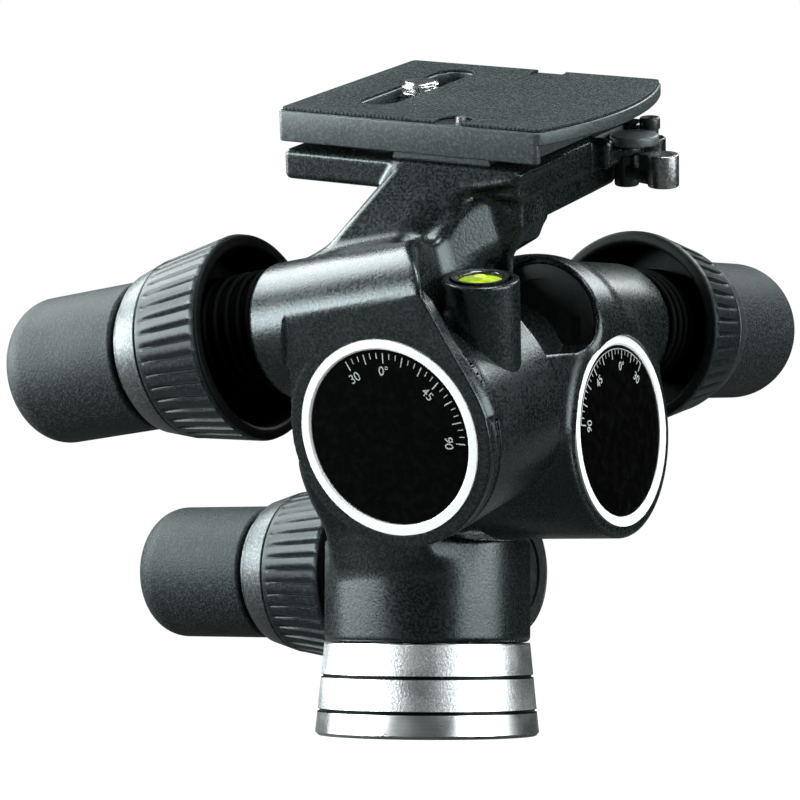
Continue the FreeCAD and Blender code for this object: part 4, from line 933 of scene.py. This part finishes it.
def make_grips(looks):
    """Soft grips: the turned shape stays, with a fine pebbled rubber finish."""
    rubber = grained("grip_rubber", looks.grip, (0.034, 0.043, 0.045, 1), 1600.0, 0.6, share=0.75,
                     strength=0.8, depth=0.2, specular=0.25)
    core = grained("knob_core_moulding", (0.02, 0.02, 0.02, 1), (0.05, 0.05, 0.05, 1), 900.0, 0.6)
    # painted shade: the release sleeves and springs are painted near black with almost no shine,
    # standing for the shade inside the collars
    dark = grained("sleeve_painted_shade", (0.001, 0.001, 0.001, 1), (0.003, 0.003, 0.003, 1), 1200.0, 0.8,
                   specular=0.03)
    spring_shade = grained("spring_painted_shade", (0.001, 0.001, 0.001, 1), (0.004, 0.004, 0.004, 1), 900.0,
                         0.7, specular=0.05)
    for drive in DRIVES:
        for node, finish in (("_grip", rubber), ("_knob_core", core), ("_release_sleeve", dark),
                             ("_release_spring", spring_shade)):
            recoat(drive.name + node, finish)


def coat(piece, material):
    piece.data.materials.clear()
    piece.data.materials.append(material)
    return piece


def recoat(node, material):
    """Give a carried-over node its finish."""
    slots = NODES[node].material_slots
    if not slots:
        NODES[node].data.materials.append(material)
    for slot in slots:
        slot.material = material


def make_gears():
    """Finishes of the wheels, worms, spindles, bushes and closing plates inside."""
    steel = machined("ground_steel", (0.55, 0.55, 0.56, 1), 0.28)
    bronze = machined("wheel_bronze", (0.62, 0.43, 0.2, 1), 0.34)
    bush = grained("sintered_bronze", (0.45, 0.31, 0.15, 1), (0.6, 0.45, 0.25, 1), 1600.0, 0.42,
                   metallic=1.0)
    closing = machined("plate_metal", (0.5, 0.5, 0.51, 1), 0.38)
    cap = grained("cap_moulding", (0.006, 0.006, 0.006, 1), (0.02, 0.02, 0.02, 1), 900.0, 0.45)
    for drive in DRIVES:
        for node in ("_spindle", "_worm"):
            recoat(drive.name + node, steel)
        recoat(drive.name + "_wheel", bronze)
        for node in ("_bushes", "_worm_bushes"):
            recoat(drive.name + node, bush)
        recoat(drive.name + "_bearing_plate", closing)
        if drive is not SIDE:
            recoat(drive.name + "_boss_cap", cap)


def make_foot(looks):
    recoat("base_adapter", foot_metal(looks.bright, 0.27))
    recoat("base_screws", machined("screw_steel", (0.3, 0.3, 0.31, 1), 0.35))


# ------------------------------------------------------------------ dials
def print_white():
    material = bpy.data.materials.get("scale_print")
    if material is None:
        material = grained("scale_print", (0.3, 0.32, 0.32, 1), (0.5, 0.52, 0.52, 1), 900.0, 0.5,
                           strength=0.05)
    return material


DIALS = (  # drive, body that carries the scale, clockwise angle of zero seen from outside, way
    (SIDE, "tilt_body", 6.0 - SIDE_LEAN, 1),
    (FRONT, "pan_body", 20.0, -1),
)


def dial_board(drive, station):
    """The plane of a dial seen from outside: Y is up, X is clockwise from it."""
    up = np.array((0.0, 0.0, 1.0))
    outward = drive.axis.axes[:, 2]
    axes = np.column_stack((np.cross(up, outward), up, outward))
    return drive.world(Place(drive.axis.origin + outward * station, axes))


def numeral(text, height):
    curve = bpy.data.curves.new("numeral", "FONT")
    curve.body = text
    curve.size = height * 1.38 * MM
    curve.align_x = "CENTER"
    curve.align_y = "CENTER"
    curve.extrude = 0.04 * MM
    curve.offset = 0.00001
    thing = link(bpy.data.objects.new("numeral", curve))
    mesh = bpy.data.meshes.new_from_object(thing.evaluated_get(
        bpy.context.evaluated_depsgraph_get()))
    bpy.data.objects.remove(thing)
    return mesh


def make_dials(looks):
    """Finishes of the dial discs and rings, and the printed scales."""
    face = grained("dial_face", looks.dial, (0.003, 0.003, 0.003, 1), 500.0, 0.2, strength=0.02,
                   specular=0.05)
    ring = grained("dial_ring", looks.bezel, (0.8, 0.8, 0.8, 1), 900.0, 0.32, share=0.3,
                   strength=0.06, depth=0.03)
    for drive, body, zero, way in DIALS:
        recoat(drive.name + "_dial", face)
        recoat(drive.name + "_bezel", ring)
        board = dial_board(drive, 35.7)
        shell = bmesh.new()

        def stroke(angle, inner, outer, width):
            a = math.radians(angle)
            out = np.array((math.sin(a), math.cos(a)))
            side = np.array((out[1], -out[0])) * width / 2
            ends = [out * inner - side, out * inner + side, out * outer + side, out * outer - side]
            floor = [shell.verts.new((x * MM, y * MM, 0)) for x, y in ends]
            top = [shell.verts.new((x * MM, y * MM, 0.06 * MM)) for x, y in ends]
            shell.faces.new(top)
            shell.faces.new(floor[::-1])
            for i in range(4):
                j = (i + 1) % 4
                shell.faces.new((floor[i], floor[j], top[j], top[i]))

        for mark in range(-30, 91, 5):
            long = mark % 15 == 0
            stroke(zero + way * mark, 18.2 if long else 19.3, 20.7, 0.3 if long else 0.22)
        for part in range(-30, 90, 2) if drive is FRONT else ():
            stroke(zero + way * (part + 1), 20.55, 20.8, 0.76)
        for mark, text in ((-30, "30"), (0, "0°"), (45, "45"), (90, "90")):
            mesh = numeral(text, 2.3)
            a = math.radians(zero + way * mark)
            spin = Matrix.Rotation(-a, 4, "Z")
            move = Matrix.Translation((16.2 * math.sin(a) * MM, 16.2 * math.cos(a) * MM,
                                       0.02 * MM))
            mesh.transform(move @ spin)
            shell.from_mesh(mesh)
            bpy.data.meshes.remove(mesh)
        mesh = bpy.data.meshes.new(drive.name + "_scale")
        shell.to_mesh(mesh)
        shell.free()
        mesh.transform(board.matrix())
        piece = link(bpy.data.objects.new(drive.name + "_scale", mesh))
        settle(piece, body, print_white())


# ------------------------------------------------------------------ plate and camera screw
PLATE = {"left": -49.5, "right": 23.0, "front": -33.0, "back": 34.0, "bow": 7.0,
         "under": 60.5, "lip": 65.0, "face": 68.2, "pad": 69.0}


def plate_edge(inset, corner=1.6):
    """Outline of the plate: straight on three sides and bowed on the right."""
    left, right = PLATE["left"] + inset, PLATE["right"] - inset * 0.3
    front, back = PLATE["front"] + inset, PLATE["back"] - inset
    sag = PLATE["bow"] - inset * 0.4
    half = (back - front) / 2
    radius = (half * half + sag * sag) / (2 * sag)
    spread = math.degrees(math.asin(half / radius))
    bow = circle(right + sag - radius, (front + back) / 2, radius, 24, -spread, spread)
    outline = [(left, front)] + bow + [(left, back)]
    done = []
    for i, spot in enumerate(outline):
        if i in (0, 1, len(outline) - 2, len(outline) - 1):
            before = np.array(outline[i - 1])
            here = np.array(spot)
            after = np.array(outline[(i + 1) % len(outline)])
            back_way = (before - here) / np.linalg.norm(before - here)
            ahead_way = (after - here) / np.linalg.norm(after - here)
            for t in np.linspace(0, 1, 6):
                done.append(tuple((1 - t) ** 2 * (here + back_way * corner)
                                  + 2 * t * (1 - t) * here + t ** 2 * (here + ahead_way * corner)))
        else:
            done.append(tuple(spot))
    return done


NOTCHES = ((-1.5, -29.5, 4.6), (-7.8, 31.0, 4.6))


def notched(outline):
    """Swap the part of an edge inside a notch for the notch's own arc."""
    for x, y, radius in NOTCHES:
        edge = min(outline, key=lambda spot: abs(spot[1] - (-40 if y < 0 else 40)))[1]
        half = math.sqrt(max(radius ** 2 - (edge - y) ** 2, 0.01))
        lip = math.degrees(math.asin((edge - y) / radius))
        if y < 0:
            arc = circle(x, y, radius, 20, 180 - lip, lip)
        else:
            arc = circle(x, y, radius, 20, lip, -180 - lip)
        count = len(outline)
        for i in range(count):
            a, b = outline[i], outline[(i + 1) % count]
            flat = abs(a[1] - edge) < 0.02 and abs(b[1] - edge) < 0.02
            if flat and min(a[0], b[0]) < x - half and max(a[0], b[0]) > x + half:
                outline = outline[:i + 1] + arc + outline[i + 1:]
                break
    return outline


def slot_outline(radius, count=16):
    x, front, back = -30.0, -20.5 + 5.0, 26.4 - 5.0
    return circle(x, back, radius, count, 0, 180) + circle(x, front, radius, count, 180, 360)


def make_plate(looks):
    """Quick release plate: rim and deck, dovetail foot, and the ribbed pad in the rim."""
    alloy = grained("plate_coat", looks.plate, (0.1, 0.11, 0.112, 1), 1500.0, 0.4, share=0.4,
                    strength=0.22, depth=0.07)
    slot = slot_outline(5.0)
    head_slot = slot_outline(8.2)
    rim = pushed("plate_rim", plate_edge(0.06), PLATE["lip"], PLATE["face"], TOP, 0.45, 3,
                 [slot])
    deck_line = [(-49.5, -33.0), (22.7, -33.0), (22.7, -30.6), (19.5, -30.6), (19.5, 34.0),
                 (-49.5, 34.0)]
    deck = pushed("plate_deck", rounded_outline(deck_line, 1.4, 4), PLATE["under"],
                  PLATE["face"], TOP, 0.45, 3, [head_slot])
    foot = [(-20, 55.6), (-17.55, 60.7), (7.55, 60.7), (10, 55.6)]
    points = [(x, y, z) for y in (-30.2, 31.8) for x, z in foot]
    faces = [(0, 1, 2, 3), (7, 6, 5, 4)] + [(i, (i + 1) % 4, 4 + (i + 1) % 4, 4 + i)
                                            for i in range(4)]
    foot = solid("plate_foot", points, faces, TOP)
    plate = join("camera_plate", [coat(piece, alloy) for piece in (rim, deck, foot)])
    shade(plate.data)
    settle(plate, "plate", None, ["quick_plate"])
    rubber = ribbed_rubber("pad_rubber", looks.pad, 1.1, TOP.axes[:, 0])
    pad = pushed("ribbed_pad", notched(plate_edge(0.6)), PLATE["face"], PLATE["pad"], TOP, 0.25,
                 3, [slot_outline(5.3)])
    settle(pad, "plate", rubber, ["plate_pad"])
    recoat("locating_pin", machined("pin_steel", (0.6, 0.6, 0.61, 1), 0.3))


def make_camera_screw():
    """Camera screw with a real thread of sixteen turns to the inch, its clip and washer."""
    bright = machined("screw_metal", (0.78, 0.78, 0.79, 1), 0.24, 900.0)
    pitch, major, minor = 25.4 / 16, 4.76, 3.8
    start, end = 65.5, 70.2
    count = 72
    rows = 60
    points, faces = [], []
    for row in range(rows + 1):
        z = start + (end - start) * row / rows
        for i in range(count):
            a = 2 * math.pi * i / count
            turn_part = ((z - start) / pitch - i / count) % 1.0
            tooth = min(1.0, max(0.0, 1.2 - abs(turn_part - 0.5) * 3.2))
            ends = min(1.0, (z - start) / 0.5, (end - z) / 0.7)
            radius = minor + (major - minor) * tooth * max(0.0, ends)
            points.append((radius * math.cos(a), radius * math.sin(a), z))
    for row in range(rows):
        for i in range(count):
            j = (i + 1) % count
            faces.append((row * count + i, row * count + j, (row + 1) * count + j,
                          (row + 1) * count + i))
    faces.append(tuple(range(count))[::-1])
    faces.append(tuple(range(rows * count, (rows + 1) * count)))
    seat = TOP.inner((-30, 4, 0))
    thread = solid("screw_thread", points, faces, seat, 50)
    shank = lathe("screw_shank", soften([(0, 61.2), (4.0, 61.2), (4.0, 65.6), (0, 65.6)]), seat,
                  loop=False)
    head = lathe("screw_head", soften([(0, 59.0), (7.6, 59.0, 0.5), (7.6, 61.4, 0.4), (0, 61.4)]),
                 seat, loop=False)
    piece = join("camera_screw_turned", [coat(part, bright) for part in (thread, shank, head)])
    shade(piece.data, 50)
    settle(piece, "camera_stud", None, ["camera_screw"])
    dark = machined("washer_steel", (0.2, 0.2, 0.21, 1), 0.35)
    recoat("screw_washer", dark)
    recoat("screw_clip", dark)


# ------------------------------------------------------------------ lever and level
def make_lever():
    """Locking lever: disc and pivot, post with its arm, finger piece, jaw and catch."""
    black = grained("lever_moulding", (0.008, 0.009, 0.009, 1), (0.03, 0.032, 0.033, 1), 1100.0,
                    0.36, share=0.4, strength=0.15)
    disc_coat = grained("lever_disc_coat", (0.045, 0.052, 0.054, 1), (0.12, 0.13, 0.132, 1),
                        1300.0, 0.42, share=0.4, strength=0.2)
    silver = grained("finger_coat", (0.2, 0.21, 0.213, 1), (0.45, 0.46, 0.465, 1), 1300.0, 0.3,
                     share=0.5, strength=0.3, metallic=1.0)
    at_lever = TOP.inner(LEVER_AT.origin)
    disc = lathe("lever_disc", soften([(0, 55.5), (6.2, 55.5, 0.4), (6.2, 57.9, 0.7), (0, 57.9)]),
                 at_lever.inner((1.5, 1.3, 0)), loop=False)
    pivot = lathe("lever_pivot", [(0, 53.15), (2.5, 53.15), (2.5, 55.6), (0, 55.6)], at_lever,
                  loop=False)
    top = join("lever_top", [coat(part, disc_coat) for part in (disc, pivot)])
    shade(top.data)
    settle(top, "lever", None, ["clamp_lever"])
    arm_at = at_lever.inner((0, 0, 0), turn("Z", -16.5))
    post = lathe("post_turned", soften([(0, 45.0), (3.1, 45.0, 0.6), (3.1, 53.15, 0.3),
                                        (0, 53.15)]), at_lever, loop=False)
    arm_low = pushed("post_arm", rounded_outline([(0, -2.5), (9.5, -2.5), (9.5, 2.5), (0, 2.5)],
                                                 0.5), 47.6, 50.6, arm_at, 0.3)
    arm_tall = pushed("post_arm_end", rounded_outline([(6.2, -2.5), (9.6, -2.5), (9.6, 2.5),
                                                       (6.2, 2.5)], 0.5), 46.9, 54.4, arm_at, 0.3)
    arm = join("lever_arm", [coat(part, black) for part in (post, arm_low, arm_tall)])
    shade(arm.data)
    settle(arm, "lever", None, ["lever_post"])
    # the finger piece is a round bar, hollowed on its inner side by a circle round the pivot
    reach, radius, hollow = 12.3, 3.9, 9.1
    face = math.degrees(math.acos((reach ** 2 + hollow ** 2 - radius ** 2) / (2 * reach * hollow)))
    back = circle(0, 0, hollow, 10, face, -face)
    meet_y = hollow * math.sin(math.radians(face))
    meet_x = hollow * math.cos(math.radians(face)) - reach
    open_angle = math.degrees(math.atan2(meet_y, meet_x))
    outline = circle(reach, 0, radius, 30, -open_angle, open_angle) + back[1:-1]
    finger = pushed("finger_piece", outline, 46.5, 54.7, arm_at, 0.45)
    settle(finger, "lever", silver, ["lever_finger"])
    recoat("clamp_jaw", machined("jaw_metal", (0.5, 0.5, 0.51, 1), 0.36))
    catch = lathe("catch_button", soften([(0, 49.0), (2.2, 49.0), (2.2, 57.5), (2.6, 57.5, 0.2),
                                          (2.6, 60.5, 0.5), (0, 60.5)]),
                  TOP.inner(CATCH_AT.origin), loop=False)
    settle(catch, "catch", black, ["lever_catch"])


# strength of the liquid's painted glow
LIQUID_GLOW = 0.5


def make_level(looks):
    """Round spirit level: black ring, tinted liquid under a clear dome, and its bubble."""
    seat = TOP.inner(PILLAR_AT.origin)
    black = grained("level_ring_gloss", (0.012, 0.012, 0.012, 1), (0.05, 0.05, 0.05, 1), 800.0,
                    0.22, strength=0.05, coat=0.5)
    ring = lathe("level_ring_turned", soften([(5.35, 29.8), (5.35, 35.7, 0.3), (6.0, 36.1, 0.3),
                                              (7.35, 36.1, 0.4), (7.35, 29.8),
                                              (5.35, 29.8)])[:-1], seat)
    settle(ring, "platform", black, ["level_ring"])
    material, tree, shader = blank("level_liquid", specular=0.4)
    made = place_group(tree, "speckle", {"Colour": looks.liquid, "Fleck": (0.1, 0.14, 0.01, 1),
                                         "Grain size": 300.0, "Fleck share": 0.9,
                                         "Roughness": 0.12})
    wire(tree, made.outputs["Colour"], shader.inputs["Base Color"])
    wire(tree, made.outputs["Roughness"], shader.inputs["Roughness"])
    # painted glow: the liquid gives off light that only the camera sees, standing in for light
    # passing through the vial
    shader.inputs["Emission Color"].default_value = [LIQUID_GLOW * v for v in looks.liquid]
    wire(tree, tree.nodes.new("ShaderNodeLightPath").outputs["Is Camera Ray"],
         shader.inputs["Emission Strength"])
    vial = lathe("level_vial_dome", soften([(0, 29.8), (5.3, 29.8), (5.3, 35.1, 0.3),
                                            (3.5, 35.5), (1.5, 35.65), (0, 35.7)]), seat,
                 loop=False)
    settle(vial, "platform", material, ["level_vial"])
    bubble_look = grained("level_bubble_gloss", (0.5, 0.6, 0.08, 1), (0.6, 0.7, 0.15, 1),
                          300.0, 0.25, strength=0.02, specular=0.4)
    bubble = lathe("level_bubble", soften([(0, 35.5), (1.6, 35.52), (1.4, 35.78), (0.8, 35.9),
                                           (0, 35.93)]), seat.inner((-1.0, 1.6, 0)), loop=False)
    settle(bubble, "platform", bubble_look)


# ------------------------------------------------------------------ stage
SURROUND_SHINE = 0.012
FLOOR_HALF = 6.0
LENS = 138.39
SENSOR = 36.0
CAMERA_AIM = (31.970853, -3.48031, 0.245809)  # azimuth, elevation and roll, degrees
CAMERA_AT = (0.430154, -0.703498, 0.0393015)
LAMP_TARGET = (0.0, -0.02, 0.09)
LAMP_ZERO = 31.97  # the azimuth that the lamps swing from, degrees
LAMPS = (  # name, swing and height in degrees, distance, width and height in metres, watts
    ("low_box", -84, 11, 0.48, 0.6, 0.2, 7.0), ("high_box", -114, 45, 0.75, 0.55, 0.5, 11.0),
    ("foot_box", -92, -1, 1.2, 0.9, 0.1, 1.2), ("right_box", 60, 6, 0.8, 0.7, 0.5, 9.0),
    ("top_box", 24, 60, 0.8, 0.35, 0.35, 7.0), ("rim_box", 122, 46, 0.8, 0.45, 0.45, 5.0))


def make_stage():
    """Pale floor, white surround, soft lamps and the camera."""
    scene = bpy.context.scene
    scene.view_settings.view_transform = "Standard"
    world = bpy.data.worlds.new("surround")
    world.use_nodes = True
    tree = world.node_tree
    sky = tree.nodes["Background"]
    seen = tree.nodes.new("ShaderNodeLightPath").outputs["Is Camera Ray"]
    shine = tree.nodes.new("ShaderNodeMapRange")
    wire(tree, seen, shine.inputs["Value"])
    shine.inputs["To Min"].default_value = SURROUND_SHINE
    shine.inputs["To Max"].default_value = 1.0
    wire(tree, shine.outputs["Result"], sky.inputs["Strength"])
    sky.inputs["Color"].default_value = (1, 1, 1, 1)
    scene.world = world
    floor_mesh = bpy.data.meshes.new("floor")
    floor_mesh.from_pydata([(x * FLOOR_HALF, y * FLOOR_HALF, 0) for x, y in
                            ((-1, -1), (1, -1), (1, 1), (-1, 1))], [], [(0, 1, 2, 3)])
    floor = link(bpy.data.objects.new("floor", floor_mesh))
    material, tree, shader = blank("floor_white", specular=0.1)
    shader.inputs["Base Color"].default_value = (0.07, 0.07, 0.07, 1)
    shader.inputs["Roughness"].default_value = 0.9
    shader.inputs["Emission Color"].default_value = (1, 1, 1, 1)
    wire(tree, tree.nodes.new("ShaderNodeLightPath").outputs["Is Camera Ray"],
         shader.inputs["Emission Strength"])
    floor.data.materials.append(material)
    camera = bpy.data.cameras.new("view_camera")
    camera.sensor_width = SENSOR
    camera.lens = LENS
    camera.clip_end = 20.0
    eye = link(bpy.data.objects.new("view_camera", camera))
    az, el, roll = (math.radians(v) for v in CAMERA_AIM)
    back = Vector((math.sin(az) * math.cos(el), -math.cos(az) * math.cos(el), math.sin(el)))
    right = Vector((math.cos(az), math.sin(az), 0))
    up = back.cross(right)
    right, up = (right * math.cos(roll) + up * math.sin(roll),
                 up * math.cos(roll) - right * math.sin(roll))
    eye.matrix_world = Matrix([(right[i], up[i], back[i], CAMERA_AT[i]) for i in range(3)]
                              + [(0, 0, 0, 1)])
    scene.camera = eye
    for name, swing, height, distance, width, tall, power in LAMPS:
        lamp = bpy.data.lights.new(name, "AREA")
        lamp.shape = "RECTANGLE"
        lamp.size = width
        lamp.size_y = tall
        lamp.energy = power
        lamp.color = (0.95, 1.0, 1.0)
        a, b = math.radians(LAMP_ZERO + swing), math.radians(height)
        way = Vector((math.sin(a) * math.cos(b), -math.cos(a) * math.cos(b), math.sin(b)))
        stand = link(bpy.data.objects.new(name, lamp))
        stand.location = Vector(LAMP_TARGET) + way * distance
        stand.rotation_euler = way.to_track_quat("Z", "Y").to_euler()


# ------------------------------------------------------------------ operators
def head_operator(kind, label, doc, work):
    """An operator that makes one group of pieces."""

    def execute(self, context):
        work(context.scene.head_sizes, context.scene.head_colours)
        return {"FINISHED"}

    return type("GEARED_HEAD_OT_" + kind, (bpy.types.Operator,), {
        "bl_idname": "geared_head." + kind, "bl_label": label, "__doc__": doc,
        "execute": execute})


STEPS = [
    head_operator("stage", "Stage", "Floor, lamps and camera", lambda s, c: make_stage()),
    head_operator("castings", "Castings", "The three painted castings", make_castings),
    head_operator("collars", "Release collars", "The ribbed release collars", make_collars),
    head_operator("grips", "Knob grips", "Finishes of the knobs, rings and sleeves",
                  lambda s, c: make_grips(c)),
    head_operator("gears", "Gears", "Finishes of the gear sets", lambda s, c: make_gears()),
    head_operator("foot", "Foot", "Finish of the bright foot", lambda s, c: make_foot(c)),
    head_operator("dials", "Dials", "Dial discs, rings and scales", lambda s, c: make_dials(c)),
    head_operator("plate", "Camera plate", "Quick release plate and pad",
                  lambda s, c: make_plate(c)),
    head_operator("screw", "Camera screw", "Threaded camera screw",
                  lambda s, c: make_camera_screw()),
    head_operator("lever", "Lever", "Locking lever and catch", lambda s, c: make_lever()),
    head_operator("level", "Spirit level", "Round level in its pillar",
                  lambda s, c: make_level(c)),
]


class GEARED_HEAD_PT_panel(bpy.types.Panel):
    """Lists the pieces of the head."""
    bl_label = "Geared head"
    bl_idname = "GEARED_HEAD_PT_panel"
    bl_space_type = "VIEW_3D"
    bl_region_type = "UI"
    bl_category = "Geared head"

    def draw(self, context):
        layout = self.layout
        for group in (context.scene.head_sizes, context.scene.head_colours):
            for name in group.__annotations__:
                layout.prop(group, name)
        for step in STEPS:
            layout.operator(step.bl_idname)


CLASSES = [HeadColours, HeadSizes, *STEPS, GEARED_HEAD_PT_panel]


def register():
    for thing in CLASSES:
        bpy.utils.register_class(thing)
    bpy.types.Scene.head_sizes = bpy.props.PointerProperty(type=HeadSizes)
    bpy.types.Scene.head_colours = bpy.props.PointerProperty(type=HeadColours)


def unregister():
    del bpy.types.Scene.head_colours
    del bpy.types.Scene.head_sizes
    for thing in reversed(CLASSES):
        bpy.utils.unregister_class(thing)


def main():
    register()
    for step in STEPS:
        getattr(bpy.ops.geared_head, step.bl_idname.split(".")[1])()


if __name__ == "__main__":
    main()
